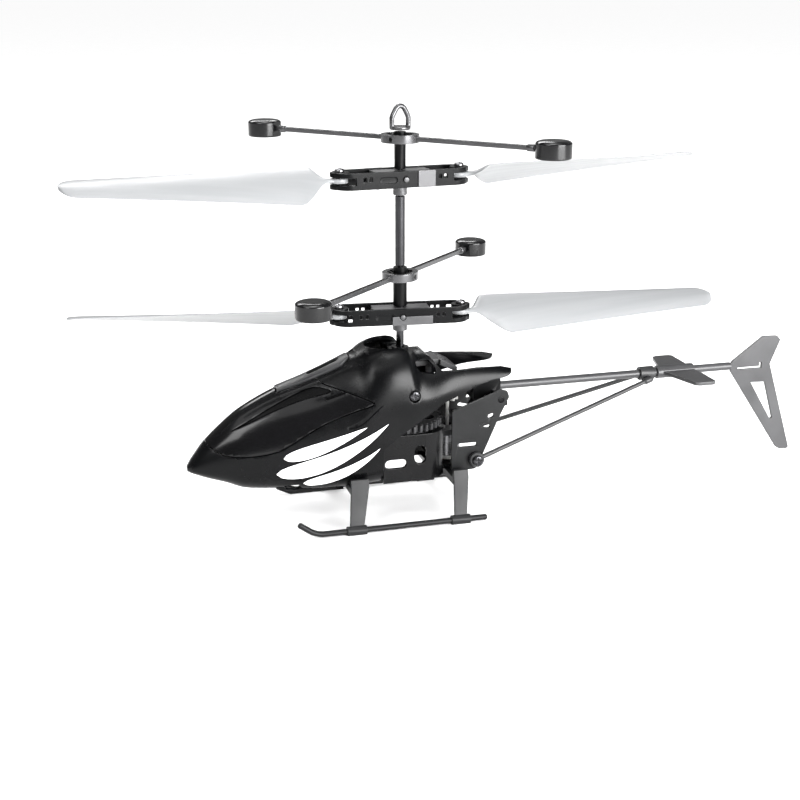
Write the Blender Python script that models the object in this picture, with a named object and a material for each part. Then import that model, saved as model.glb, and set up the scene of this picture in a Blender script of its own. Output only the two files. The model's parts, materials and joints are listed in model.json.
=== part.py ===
"""Toy remote control helicopter with two counter-rotating rotors on one mast.

Nose towards -X, tail towards +X, left side towards -Y, up is +Z.  The pieces are laid out with
the mast on x = 0 and the skids standing on z = 0; the whole model is then moved along X by MAST_X
so that the middle of its bounding box is at x = 0.  All lengths are in metres.
"""

import math

import bmesh
import bpy
from mathutils import Matrix, Vector

# ---- heights of the main levels ---------------------------------------------------------------
SKID_LEVEL = 0.0011
BELLY_LEVEL = 0.0112
DECK_LEVEL = 0.0434
PLATFORM_LEVEL = 0.0460
LOWER_ROTOR_LEVEL = 0.0562
LOWER_FLYBAR_LEVEL = 0.0668
UPPER_ROTOR_LEVEL = 0.0932
UPPER_FLYBAR_LEVEL = 0.1035
LOOP_TOP_LEVEL = 0.1125
BOOM_LEVEL = 0.0333
LOWER_GEAR_LEVEL = 0.0262
UPPER_GEAR_LEVEL = 0.0318
MAST_X = -0.01757

# ---- rotor heads ------------------------------------------------------------------------------
ROTOR_RADIUS = 0.0886
FLYBAR_RADIUS = 0.0447
UPPER_BLADE_ANGLE = math.radians(4.8)
LOWER_BLADE_ANGLE = math.radians(-6.0)
UPPER_FLYBAR_ANGLE = math.radians(-48.0)
LOWER_FLYBAR_ANGLE = math.radians(46.4)
BLADE_PIN_RADIUS = 0.0168
HUB_HALF_LENGTH = 0.0188
HUB_HALF_WIDTH = 0.0046
HUB_WALL = 0.0010
HUB_HEIGHT = 0.0044
HUB_NECK = 0.0046
ROOT_CHORD = 0.0170
TIP_CHORD = 0.0105
BLADE_RISE = 0.030
ROOT_PITCH = math.radians(28.0)
TIP_PITCH = math.radians(15.0)
BLADE_THICKNESS = 0.0009
WEIGHT_RADIUS = 0.0046
WEIGHT_HEIGHT = 0.0046

# ---- shafts and gears -------------------------------------------------------------------------
INNER_SHAFT_RADIUS = 0.0006
OUTER_SHAFT_RADIUS = 0.0011
OUTER_SHAFT_BORE = 0.00072
RUNNING_GAP = 0.00005
GEAR_MODULE = 0.0006
GEAR_TEETH = 38
PINION_TEETH = 8
GEAR_WIDTH = 0.0018
PINION_WIDTH = 0.0024
MOTOR_RADIUS = 0.0036
MOTOR_LENGTH = 0.0076
MOTOR_TOP = 0.0212
MOTOR_DISTANCE = GEAR_MODULE * (GEAR_TEETH + PINION_TEETH) / 2

# ---- body -------------------------------------------------------------------------------------
SHELL_WALL = 0.0011
PIECE_GAP = 0.0003
CHASSIS_HALF_WIDTH = 0.0110
CHASSIS_TOP = 0.0246
SIDE_PLATE_Y = 0.0092
SIDE_PLATE_THICKNESS = 0.0009
KEEL_HALF_WIDTH = 0.0076
SKID_Y = 0.0173
SKID_TUBE_RADIUS = 0.0008
BOOM_RADIUS = 0.0012
BOOM_BORE = 0.0008
BOOM_FRONT = 0.0180
BOOM_REAR = 0.1016
FIN_THICKNESS = 0.0010
STRUT_RADIUS = 0.00065
STRUT_EYE = (0.0190, 0.0158)
CANOPY_SCREW = (0.0006, 0.0362)

# Stations of the fuselage skin: x, crown height, belly height, half width, height of the widest
# line, and how square the upper and lower quarters of the section are.
FUSELAGE_STATIONS = (
    (-0.0598, 0.0178, 0.0164, 0.0012, 0.0170, 2.0, 2.0),
    (-0.0585, 0.0198, 0.0158, 0.0030, 0.0173, 2.0, 2.0),
    (-0.0550, 0.0243, 0.0146, 0.0052, 0.0180, 2.0, 2.4),
    (-0.0500, 0.0290, 0.0132, 0.0072, 0.0188, 2.0, 2.8),
    (-0.0450, 0.0329, 0.0114, 0.0088, 0.0196, 1.9, 3.0),
    (-0.0360, 0.0375, 0.0107, 0.0108, 0.0205, 1.9, 3.2),
    (-0.0280, 0.0403, 0.0099, 0.0120, 0.0220, 1.9, 3.4),
    (-0.0200, 0.0435, 0.0098, 0.0129, 0.0235, 1.9, 3.4),
    (-0.0140, 0.0461, 0.0100, 0.0134, 0.0250, 2.1, 3.4),
    (-0.0098, 0.0481, 0.0102, 0.0137, 0.0260, 2.8, 3.4),
    (-0.0050, 0.0490, 0.0104, 0.0137, 0.0265, 3.4, 3.4),
    (-0.0002, 0.0487, 0.0104, 0.0136, 0.0270, 3.2, 3.4),
    (0.0022, 0.0463, 0.0106, 0.0135, 0.0275, 2.5, 3.4),
    (0.0050, 0.0460, 0.0106, 0.0133, 0.0280, 2.3, 3.4),
    (0.0120, 0.0456, 0.0108, 0.0125, 0.0300, 3.0, 3.4),
    (0.0200, 0.0438, 0.0110, 0.0110, 0.0320, 3.6, 3.4),
    (0.0310, 0.0412, 0.0112, 0.0091, 0.0340, 4.5, 3.4),
)
SECTION_POINTS = 32

# Side-view outlines of the fuselage, as (x, z).
WINDSHIELD_OUTLINE = (
    (-0.0570, 0.0500), (-0.0570, 0.0266), (-0.0548, 0.0245), (-0.0515, 0.0222), (-0.0480, 0.0217),
    (-0.0430, 0.0218), (-0.0370, 0.0228), (-0.0328, 0.0250), (-0.0258, 0.0292), (-0.0180, 0.0323),
    (-0.0096, 0.0349), (-0.0125, 0.0362), (-0.0185, 0.0383), (-0.0253, 0.0403), (-0.0300, 0.0500))
REAR_CUT_OUTLINE = (
    (-0.0080, -0.0020), (-0.0080, 0.0218), (-0.0013, 0.0266), (0.0097, 0.0337),
    (0.0202, 0.0377), (0.0272, 0.0384), (0.0292, 0.0390), (0.0299, 0.0402), (0.0296, 0.0500),
    (0.0400, 0.0500), (0.0400, -0.0020))
TOP_REAR_OUTLINE = (
    (0.0052, 0.0560), (0.0052, 0.0457), (0.0068, 0.0450), (0.0092, 0.0417), (0.0400, 0.0411),
    (0.0400, 0.0560))
FLANK_NOTCH = (
    (0.0022, 0.0444), (0.0022, 0.0430), (0.0034, 0.0416), (0.0074, 0.0412), (0.0074, 0.0426),
    (0.0062, 0.0444))
KEEL_OUTLINE = (
    (-0.0368, 0.0114), (-0.0330, 0.0096), (-0.0182, 0.0096), (-0.0182, 0.0130), (-0.0360, 0.0130))
KEEL_WINDOW = ((-0.0352, 0.0128), (-0.0341, 0.0110), (-0.0310, 0.0107), (-0.0301, 0.0116), (-0.0311, 0.0131))
FIN_OUTLINE = (
    (0.1018, 0.0317), (0.1018, 0.0338), (0.1023, 0.0348), (0.1117, 0.0417), (0.1165, 0.0416),
    (0.1176, 0.0404), (0.1147, 0.0332), (0.1235, 0.0060), (0.1229, 0.0055), (0.1202, 0.0057),
    (0.1191, 0.0064))
FIN_WINDOW = ((0.1088, 0.0278), (0.1135, 0.0276), (0.1170, 0.0160), (0.1163, 0.0156))
SIDE_PLATE_OUTLINE = (
    (0.0121, 0.0130), (0.0121, 0.0300), (0.0245, 0.0345), (0.0262, 0.0352), (0.0280, 0.0346),
    (0.0286, 0.0330), (0.0255, 0.0268), (0.0213, 0.0172), (0.0190, 0.0128), (0.0150, 0.0126))

# Plan of the deck plate round the mast, as (x, y).
PLATFORM_OUTLINE = (
    (-0.0032, -0.0092), (-0.0004, -0.0092), (0.0009, -0.0066), (0.0026, -0.0042),
    (0.0026, 0.0042), (0.0009, 0.0066), (-0.0004, 0.0092), (-0.0032, 0.0092))


# ---- making solids ----------------------------------------------------------------------------
def object_from(bm, name="tool"):
    """Turn a bmesh into a scene object with outward normals."""
    bmesh.ops.remove_doubles(bm, verts=bm.verts, dist=1e-7)
    bmesh.ops.recalc_face_normals(bm, faces=bm.faces)
    mesh = bpy.data.meshes.new(name)
    bm.to_mesh(mesh)
    bm.free()
    obj = bpy.data.objects.new(name, mesh)
    bpy.context.scene.collection.objects.link(obj)
    return obj


def loft(rings):
    """Skin a list of equally long point rings and cap both ends."""
    bm = bmesh.new()
    loops = [[bm.verts.new(point) for point in ring] for ring in rings]
    count = len(loops[0])
    for first, second in zip(loops, loops[1:]):
        for i in range(count):
            j = (i + 1) % count
            bm.faces.new((first[i], first[j], second[j], second[i]))
    bm.faces.new(loops[0])
    bm.faces.new(loops[-1])
    return object_from(bm)


def box(low, high):
    """Axis-aligned block between two corners."""
    x0, y0, z0 = low
    x1, y1, z1 = high
    bottom = [(x0, y0, z0), (x1, y0, z0), (x1, y1, z0), (x0, y1, z0)]
    return loft([bottom, [(x, y, z1) for x, y, z in bottom]])


def circle(centre, axis, radius, segments):
    """Points of a circle about an axis."""
    axis = Vector(axis).normalized()
    helper = Vector((0, 0, 1)) if abs(axis.z) < 0.9 else Vector((1, 0, 0))
    side = axis.cross(helper).normalized()
    other = axis.cross(side)
    points = []
    for i in range(segments):
        angle = 2 * math.pi * i / segments
        points.append(Vector(centre) + radius * (math.cos(angle) * side + math.sin(angle) * other))
    return points


def rod(start, end, radius, segments=14, end_radius=None):
    """Round bar or cone between two points."""
    axis = Vector(end) - Vector(start)
    last = radius if end_radius is None else end_radius
    return loft([circle(start, axis, radius, segments), circle(end, axis, last, segments)])


def bent_rod(path, radius, segments=12):
    """Round bar following a path of points."""
    path = [Vector(point) for point in path]
    rings = []
    for i, point in enumerate(path):
        before = path[max(i - 1, 0)]
        after = path[min(i + 1, len(path) - 1)]
        along = (after - before).normalized()
        side = along.cross(Vector((0, 1, 0)) if abs(along.y) < 0.9 else Vector((0, 0, 1))).normalized()
        other = along.cross(side)
        rings.append([point + radius * (math.cos(a) * side + math.sin(a) * other)
                      for a in (2 * math.pi * k / segments for k in range(segments))])
    return loft(rings)


def turned(profile, segments=16, centre=(0.0, 0.0)):
    """Solid of revolution about a vertical axis; profile is (radius, z) from bottom to top."""
    cx, cy = centre
    rings = []
    for radius, z in profile:
        rings.append([(cx + radius * math.cos(a), cy + radius * math.sin(a), z)
                      for a in (2 * math.pi * k / segments for k in range(segments))])
    return loft(rings)


def ring(inner, outer, low, high, segments=14, centre=(0.0, 0.0)):
    """Plain tube standing on a vertical axis."""
    cx, cy = centre
    bm = bmesh.new()
    rows = []
    for radius, z in ((inner, low), (outer, low), (outer, high), (inner, high)):
        rows.append([bm.verts.new((cx + radius * math.cos(a), cy + radius * math.sin(a), z))
                     for a in (2 * math.pi * k / segments for k in range(segments))])
    for k in range(4):
        first, second = rows[k], rows[(k + 1) % 4]
        for i in range(segments):
            j = (i + 1) % segments
            bm.faces.new((first[i], first[j], second[j], second[i]))
    return object_from(bm)


def plate(outline, low, high, plane="XZ", holes=()):
    """Flat plate cut to an outline, with holes; low and high are across the plane."""
    def place_point(a, b, c):
        if plane == "XZ":
            return (a, c, b)
        if plane == "YZ":
            return (c, a, b)
        return (a, b, c)
    bm = bmesh.new()
    edges = []
    for loop in (outline,) + tuple(holes):
        verts = [bm.verts.new(place_point(a, b, low)) for a, b in loop]
        edges += [bm.edges.new((verts[i], verts[(i + 1) % len(verts)])) for i in range(len(verts))]
    bmesh.ops.triangle_fill(bm, use_beauty=True, edges=edges)
    made = bmesh.ops.extrude_face_region(bm, geom=list(bm.faces))
    shift = Vector(place_point(0, 0, high)) - Vector(place_point(0, 0, low))
    bmesh.ops.translate(bm, verts=[v for v in made["geom"] if isinstance(v, bmesh.types.BMVert)],
                        vec=shift)
    return object_from(bm)


def round_hole(a, b, radius, segments=12):
    """Outline of a round hole in a plate."""
    return [(a + radius * math.cos(t), b + radius * math.sin(t))
            for t in (2 * math.pi * k / segments for k in range(segments))]


def slot_hole(a, b, length, width, angle=0.0, segments=5):
    """Outline of a slot with round ends; length is over the ends."""
    half = (length - width) / 2
    points = []
    for sign in (1, -1):
        for k in range(segments + 1):
            t = -math.pi / 2 + math.pi * k / segments
            points.append((sign * (half + width / 2 * math.cos(t)), sign * width / 2 * math.sin(t)))
    c, s = math.cos(angle), math.sin(angle)
    return [(a + c * u - s * v, b + s * u + c * v) for u, v in points]


def combine(target, tool, operation="DIFFERENCE"):
    """Cut, join or intersect target with tool and throw the tool away."""
    modifier = target.modifiers.new("combine", "BOOLEAN")
    modifier.solver = "EXACT"
    modifier.operation = operation
    modifier.object = tool
    tool.hide_render = True
    tool.display_type = "WIRE"
    bpy.context.view_layer.update()
    graph = bpy.context.evaluated_depsgraph_get()
    result = bpy.data.meshes.new_from_object(target.evaluated_get(graph))
    target.modifiers.clear()
    target.data = result
    bpy.data.objects.remove(tool)
    return target


def cut(target, *tools):
    """Take every tool away from target."""
    for tool in tools:
        combine(target, tool)
    return target


def join(target, *tools):
    """Fuse every tool into target."""
    for tool in tools:
        combine(target, tool, "UNION")
    return target


def moved(obj, turn=0.0, tilt=0.0, offset=(0, 0, 0)):
    """Tilt about X, turn about Z, then shift the mesh of an object."""
    turning = Matrix.Rotation(turn, 4, "Z") @ Matrix.Rotation(tilt, 4, "X")
    obj.data.transform(Matrix.Translation(offset) @ turning)
    return obj


def mirrored(obj):
    """Mirror the mesh of an object to the other side of the helicopter."""
    obj.data.transform(Matrix.Scale(-1, 4, (0, 1, 0)))
    obj.data.flip_normals()
    return obj


def finish(obj, name, material, pivot=(0, 0, 0), sharp=35.0):
    """Name a piece, give it its material, put its origin on its pivot and shade it."""
    bm = bmesh.new()
    bm.from_mesh(obj.data)
    bmesh.ops.remove_doubles(bm, verts=bm.verts, dist=2e-7)
    bmesh.ops.dissolve_degenerate(bm, edges=bm.edges, dist=2e-7)
    bmesh.ops.translate(bm, verts=bm.verts, vec=-Vector(pivot))
    bmesh.ops.recalc_face_normals(bm, faces=bm.faces)
    bm.to_mesh(obj.data)
    bm.free()
    obj.name = name
    obj.data.name = name
    obj.data.materials.clear()
    obj.data.materials.append(material)
    obj.data.shade_smooth()
    obj.data.set_sharp_from_angle(angle=math.radians(sharp))
    obj.location = Vector(pivot) + Vector((MAST_X, 0, 0))
    return obj


def new_material(name, colour, roughness, metallic=0.0, alpha=1.0):
    """Principled material."""
    material = bpy.data.materials.new(name)
    material.use_nodes = True
    shader = material.node_tree.nodes["Principled BSDF"]
    shader.inputs["Base Color"].default_value = (*colour, 1.0)
    shader.inputs["Roughness"].default_value = roughness
    shader.inputs["Metallic"].default_value = metallic
    shader.inputs["Alpha"].default_value = alpha
    return material


# ---- fuselage ---------------------------------------------------------------------------------
def between(x, column):
    """Value of one column of the station table at x, smoothly between the stations."""
    rows = FUSELAGE_STATIONS
    if x <= rows[0][0]:
        return rows[0][column]
    for i in range(len(rows) - 1):
        if x <= rows[i + 1][0]:
            break
    first, second = rows[i], rows[i + 1]
    before, after = rows[max(i - 1, 0)], rows[min(i + 2, len(rows) - 1)]
    span = second[0] - first[0]
    t = (x - first[0]) / span
    slope_in = (second[column] - before[column]) / (second[0] - before[0]) * span
    slope_out = (after[column] - first[column]) / (after[0] - first[0]) * span
    return ((2 * t ** 3 - 3 * t ** 2 + 1) * first[column] + (t ** 3 - 2 * t ** 2 + t) * slope_in
            + (3 * t ** 2 - 2 * t ** 3) * second[column] + (t ** 3 - t ** 2) * slope_out)


def fuselage_section(x, inset):
    """One cross section of the fuselage, drawn inset from the outer skin."""
    crown, belly, half_width, widest, upper, lower = (between(x, column) for column in range(1, 7))
    half_width = half_width - inset
    points = []
    for k in range(SECTION_POINTS):
        angle = 2 * math.pi * (k + 0.5) / SECTION_POINTS
        c, s = math.cos(angle), math.sin(angle)
        power = upper if s > 0 else lower
        height = (crown - widest - inset) if s > 0 else (widest - belly - inset)
        y = half_width * math.copysign(abs(c) ** (2 / power), c)
        z = widest + height * math.copysign(abs(s) ** (2 / power), s)
        points.append((x, y, z))
    return points


def fuselage_solid(inset, start, end, steps):
    """Closed body filling the fuselage skin between two stations."""
    xs = [start + (end - start) * (i / steps) ** 1.15 for i in range(steps + 1)]
    return loft([fuselage_section(x, inset) for x in xs])


def fuselage_shell(outer=0.0, wall=SHELL_WALL):
    """Hollow fuselage skin."""
    shell = fuselage_solid(outer, -0.0598 + outer, 0.0302, 24)
    return cut(shell, fuselage_solid(outer + wall, -0.0575, 0.0330, 23))


def grown(outline, distance):
    """Outline pushed outwards by a distance."""
    area = sum(a[0] * b[1] - b[0] * a[1] for a, b in zip(outline, outline[1:] + outline[:1]))
    sign = 1 if area > 0 else -1
    points = []
    for i in range(len(outline)):
        before = Vector(outline[i - 1])
        here = Vector(outline[i])
        after = Vector(outline[(i + 1) % len(outline)])
        first = (here - before).normalized()
        second = (after - here).normalized()
        normal = Vector((first.y + second.y, -first.x - second.x)) * sign
        normal.normalize()
        spread = max(0.5, normal.dot(Vector((first.y, -first.x)) * sign))
        points.append(tuple(here + normal * distance / spread))
    return points


def cowl_outline(back):
    """Plan of the opening ahead of the mast: round in front, square at the back."""
    half = 0.0070
    points = [(-0.0032 - half * math.sin(t), half * math.cos(t))
              for t in (math.pi * k / 10 for k in range(11))]
    return [(back, half)] + points + [(back, -half)]


def crown_slot(grow):
    """Plan of the raised panel along the crown."""
    half = 0.0030 + grow
    return [(-0.0352 - grow, -half * 0.8), (-0.0175 + grow, -half * 1.25),
            (-0.0150 + grow, -half * 0.8), (-0.0150 + grow, half * 0.8),
            (-0.0175 + grow, half * 1.25), (-0.0352 - grow, half * 0.8)]


def canopy_body(material):
    """Outer moulding: nose, keel, flanks with the two rear prongs, crown and mast cowl."""
    body = fuselage_shell()
    join(body, plate(PLATFORM_OUTLINE, PLATFORM_LEVEL - 0.0012, PLATFORM_LEVEL + 0.0003, plane="XY"))
    cut(body,
        plate(grown(WINDSHIELD_OUTLINE, PIECE_GAP / 2), -0.03, 0.03),
        plate(REAR_CUT_OUTLINE, -0.03, 0.03),
        plate(TOP_REAR_OUTLINE, -0.03, 0.03),
        plate(cowl_outline(-0.0027), 0.0380, 0.0600, plane="XY"),
        plate(cowl_outline(0.0060), PLATFORM_LEVEL, 0.0600, plane="XY"),
        plate(crown_slot(PIECE_GAP / 2), 0.0380, 0.0600, plane="XY"),
        box((0.0095, -0.0076, 0.0300), (0.0400, 0.0076, 0.0600)),
        box((-0.0178, -0.0140, 0.0050), (-0.0122, 0.0140, 0.0120)))
    keel = plate(KEEL_OUTLINE, -KEEL_HALF_WIDTH, KEEL_HALF_WIDTH)
    cut(keel, fuselage_solid(SHELL_WALL, -0.0575, 0.0330, 23))
    join(body, keel)
    cut(body,
        plate(KEEL_WINDOW, -0.0120, 0.0120),
        box((-0.0340, -0.0060, 0.0080), (-0.0290, 0.0060, 0.0118)),
        box((-0.0267, -0.0009, 0.0070), (-0.0227, 0.0009, 0.0112)),
        rod((0, 0, 0.0400), (0, 0, 0.0500), 0.0019, 12))
    x, z = CANOPY_SCREW
    for side in (-1, 1):
        inner, outer = sorted((side * 0.0055, side * 0.0150))
        cut(body,
            plate(FLANK_NOTCH, inner, outer),
            rod((x, side * 0.0200, z), (x, side * 0.0040, z), 0.0009, 10),
            rod((x, side * 0.0200, z), (x, side * 0.0122, z), 0.0017, 14))
    return finish(body, "canopy_body", material)


def windshield(material):
    """Glossy nose and side window moulding."""
    shell = fuselage_shell()
    combine(shell, plate(grown(WINDSHIELD_OUTLINE, -PIECE_GAP / 2), -0.03, 0.03), "INTERSECT")
    cut(shell, plate(crown_slot(PIECE_GAP / 2), 0.0300, 0.0600, plane="XY"))
    return finish(shell, "windshield", material)


def crown_panel(material):
    """Raised strip along the crown, ahead of the mast, with its long vent."""
    strip = fuselage_shell(outer=-0.0004, wall=0.0014)
    combine(strip, plate(crown_slot(-PIECE_GAP / 2), 0.0300, 0.0600, plane="XY"), "INTERSECT")
    vent = plate(slot_hole(-0.0220, 0.0, 0.0090, 0.0022), 0.0300, 0.0600, plane="XY")
    return finish(cut(strip, vent), "crown_panel", material)


# ---- chassis ----------------------------------------------------------------------------------
def chassis_plan(half_width, front, rear, corner):
    """Plan of the chassis wall: straight sides and a rounded rear end."""
    points = [(front, -half_width)]
    for k in range(9):
        t = math.pi / 2 * k / 8
        points.append((rear - corner * (1 - math.sin(t)), -half_width + corner * (1 - math.cos(t))))
    return points + [(x, -y) for x, y in reversed(points)]


def chassis_shell(material):
    """Lower frame: a floor with a curved wall round the rear motor and a tray towards the nose."""
    wall = plate(chassis_plan(CHASSIS_HALF_WIDTH, -0.0077, 0.0112, 0.0070), BELLY_LEVEL, CHASSIS_TOP, "XY")
    hollow = plate(chassis_plan(CHASSIS_HALF_WIDTH - SHELL_WALL, -0.0090, 0.0101, 0.0060),
                   BELLY_LEVEL + 0.0014, CHASSIS_TOP + 0.001, "XY")
    cut(wall, hollow)
    tray = box((-0.0188, -0.0062, BELLY_LEVEL + 0.0011), (-0.0060, 0.0062, 0.0190))
    cut(tray, box((-0.0178, -0.0052, BELLY_LEVEL + 0.0021), (-0.0050, 0.0052, 0.0200)))
    join(wall, tray)
    for side in (-1, 1):
        y0, y1 = sorted((side * 0.0085, side * 0.0130))
        cut(wall, plate(slot_hole(-0.0042, 0.0166, 0.0062, 0.0026), y0, y1))
        cut(wall, plate(slot_hole(0.0028, 0.0188, 0.0054, 0.0034, math.pi / 2), y0, y1))
    cut(wall, plate([(-0.0066, 0.0130), (0.0066, 0.0130), (0.0078, 0.0140), (0.0078, 0.0212),
                     (0.0066, 0.0222), (-0.0066, 0.0222), (-0.0078, 0.0212), (-0.0078, 0.0140)],
                    0.0060, 0.0200, "YZ"),
        box((0.0085, -0.0060, 0.0210), (0.0130, 0.0060, 0.0260)),
        box((-0.0056, -0.0088, BELLY_LEVEL - 0.0010), (0.0078, 0.0088, BELLY_LEVEL + 0.0020)))
    join(wall, box((0.0090, -0.0060, BELLY_LEVEL + 0.0009), (0.0156, 0.0060, BELLY_LEVEL + 0.0019)))
    return finish(wall, "chassis_shell", material)


def mast_frame(material):
    """Upright frame that carries the gears and the mast, with the sloping rear deck."""
    screw_x, screw_z = CANOPY_SCREW
    frame = box((-0.0195, -0.0056, 0.0217), (0.0176, 0.0056, 0.0233))
    join(frame,
         box((-0.0195, -0.0045, 0.0220), (-0.0177, 0.0045, 0.0360)),
         box((-0.0190, -0.0045, 0.0346), (0.0120, 0.0045, 0.0361)),
         box((screw_x - 0.0014, -0.0106, 0.0347), (screw_x + 0.0014, 0.0106, 0.0378)),
         box((-0.0065, -0.0040, 0.0350), (-0.0049, 0.0040, 0.0428)),
         box((0.0062, -0.0040, 0.0350), (0.0078, 0.0040, 0.0428)),
         box((-0.0066, -0.0042, 0.0420), (0.0080, 0.0042, DECK_LEVEL)),
         plate([(0.0070, 0.0420), (0.0070, DECK_LEVEL), (0.0098, 0.0437), (0.0150, 0.0412), (0.0146, 0.0400),
                (0.0096, 0.0424)], -0.0042, 0.0042),
         plate([(0.0100, 0.0422), (0.0100, 0.0436), (0.0150, 0.0412), (0.0146, 0.0400)], -0.0054, 0.0054))
    x = MOTOR_DISTANCE
    cut(frame,
        rod((-x, 0, 0.0200), (-x, 0, 0.0240), 0.0014, 12),
        rod((x, 0, 0.0200), (x, 0, 0.0240), 0.0014, 12),
        rod((0, 0, 0.0200), (0, 0, 0.0240), 0.00135, 14),
        rod((0, 0, 0.0335), (0, 0, 0.0390), OUTER_SHAFT_RADIUS + 0.0001, 14),
        rod((0, 0, 0.0410), (0, 0, 0.0460), 0.00165, 14),
        rod((screw_x, -0.0120, screw_z), (screw_x, 0.0120, screw_z), 0.0008, 10),
        rod((0.0110, 0.0030, 0.0390), (0.0110, 0.0030, 0.0460), 0.0007, 10),
        rod((0.0110, -0.0030, 0.0390), (0.0110, -0.0030, 0.0460), 0.0007, 10),
        plate(slot_hole(0.0118, 0.0, 0.0030, 0.0015), 0.0390, 0.0460, "XY"))
    return finish(frame, "mast_frame", material)


def side_plate(name, side, material):
    """Rear side plate that holds the boom clamp and the tail struts."""
    holes = (round_hole(0.0262, 0.0322, 0.0009), slot_hole(0.0233, 0.0279, 0.0018, 0.0011, 0.4),
             slot_hole(0.0215, 0.0252, 0.0032, 0.0010, -0.25),
             slot_hole(0.0165, 0.0200, 0.0056, 0.0011, 0.0), round_hole(*STRUT_EYE, 0.0010))
    piece = plate(SIDE_PLATE_OUTLINE, -SIDE_PLATE_Y - SIDE_PLATE_THICKNESS, -SIDE_PLATE_Y, "XZ", holes)
    if side > 0:
        mirrored(piece)
    return finish(piece, name, material)


def boom_clamp(material):
    """Block between the side plates that grips the front of the tail boom."""
    block = box((0.0205, -0.0030, BOOM_LEVEL - 0.0028), (0.0285, 0.0030, BOOM_LEVEL + 0.0028))
    join(block,
         box((0.0236, -SIDE_PLATE_Y, 0.0302), (0.0284, SIDE_PLATE_Y, 0.0316)),
         box((0.0182, -SIDE_PLATE_Y, 0.0226), (0.0198, SIDE_PLATE_Y, 0.0242)),
         plate([(0.0183, 0.0236), (0.0197, 0.0230), (0.0242, 0.0306), (0.0228, 0.0316)], -0.0026, 0.0026),
         rod((0.0262, -0.0100, 0.0322), (0.0262, 0.0100, 0.0322), 0.00082, 10))
    cut(block, rod((0.0100, 0, BOOM_LEVEL), (0.0300, 0, BOOM_LEVEL), BOOM_RADIUS + RUNNING_GAP, 12))
    return finish(block, "boom_clamp", material)


# ---- drive ------------------------------------------------------------------------------------
def gear_outline(teeth, addendum, dedendum, phase, thinning):
    """Spur gear outline with involute flanks."""
    pitch = GEAR_MODULE * teeth / 2
    base = pitch * math.cos(math.radians(20))
    tip = pitch + addendum
    root = pitch - dedendum

    def half_angle(radius):
        def involute(r):
            a = math.acos(min(1.0, base / max(r, base)))
            return math.tan(a) - a
        at_pitch = math.pi / (2 * teeth) - thinning / (2 * pitch)
        return at_pitch + involute(pitch) - involute(radius)

    flank = [pitch, tip]
    points = []
    for tooth in range(teeth):
        middle = phase + 2 * math.pi * tooth / teeth
        foot = half_angle(max(root, base))
        points.append((root, middle - foot))
        for radius in flank:
            points.append((radius, middle - half_angle(radius)))
        for radius in reversed(flank):
            points.append((radius, middle + half_angle(radius)))
        points.append((root, middle + foot))
    return [(r * math.cos(a), r * math.sin(a)) for r, a in points]


def main_gear(name, level, bore, phase, material):
    """Large spur gear with round lightening holes."""
    outline = gear_outline(GEAR_TEETH, 0.65 * GEAR_MODULE, 1.25 * GEAR_MODULE, phase, 0.00006)
    holes = [round_hole(0, 0, bore, 12)]
    for k in range(6):
        angle = math.radians(60 * k + 30)
        holes.append(round_hole(0.0075 * math.cos(angle), 0.0075 * math.sin(angle), 0.0023, 8))
    wheel = plate(outline, level - GEAR_WIDTH / 2, level + GEAR_WIDTH / 2, "XY", holes)
    return finish(wheel, name, material)


def pinion(name, x, level, phase, material):
    """Small motor gear with its shaft."""
    bottom = level - PINION_WIDTH / 2
    outline = [(x + a, b) for a, b in
               gear_outline(PINION_TEETH, 0.9 * GEAR_MODULE, 1.0 * GEAR_MODULE, phase, 0.00006)]
    gear = plate(outline, bottom, level + PINION_WIDTH / 2, "XY")
    join(gear, rod((x, 0, MOTOR_TOP + 0.0002), (x, 0, bottom + 0.0010), 0.0005, 14))
    return finish(gear, name, material, pivot=(x, 0, level))


def motor(name, x, material):
    """Small round motor standing below its pinion."""
    bottom = MOTOR_TOP - MOTOR_LENGTH
    can = turned([(0.0011, bottom + 0.0001), (MOTOR_RADIUS - 0.0004, bottom), (MOTOR_RADIUS, bottom + 0.0004),
                  (MOTOR_RADIUS, MOTOR_TOP - 0.0004), (MOTOR_RADIUS - 0.0004, MOTOR_TOP),
                  (0.0012, MOTOR_TOP)], 26, (x, 0))
    return finish(can, name, material)


def shafts(steel, dark):
    """Inner rod, outer tube, and the two plain bearings."""
    finish(rod((0, 0, 0.0222), (0, 0, 0.1024), INNER_SHAFT_RADIUS, 12), "inner_shaft", steel)
    finish(ring(OUTER_SHAFT_BORE, OUTER_SHAFT_RADIUS, 0.0292, 0.0690, 14), "outer_shaft", steel)
    finish(ring(INNER_SHAFT_RADIUS + RUNNING_GAP, 0.0013, 0.0219, 0.0233, 14), "lower_bearing", dark)
    collar = rod((0, 0, DECK_LEVEL - 0.0012), (0, 0, PLATFORM_LEVEL + 0.0003), 0.0016, 14)
    join(collar, rod((0, 0, PLATFORM_LEVEL + 0.0002), (0, 0, PLATFORM_LEVEL + 0.0010), 0.0023, 14))
    cut(collar, rod((0, 0, 0.0400), (0, 0, 0.0500), OUTER_SHAFT_RADIUS + RUNNING_GAP, 14))
    finish(collar, "deck_bearing", dark)


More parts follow.
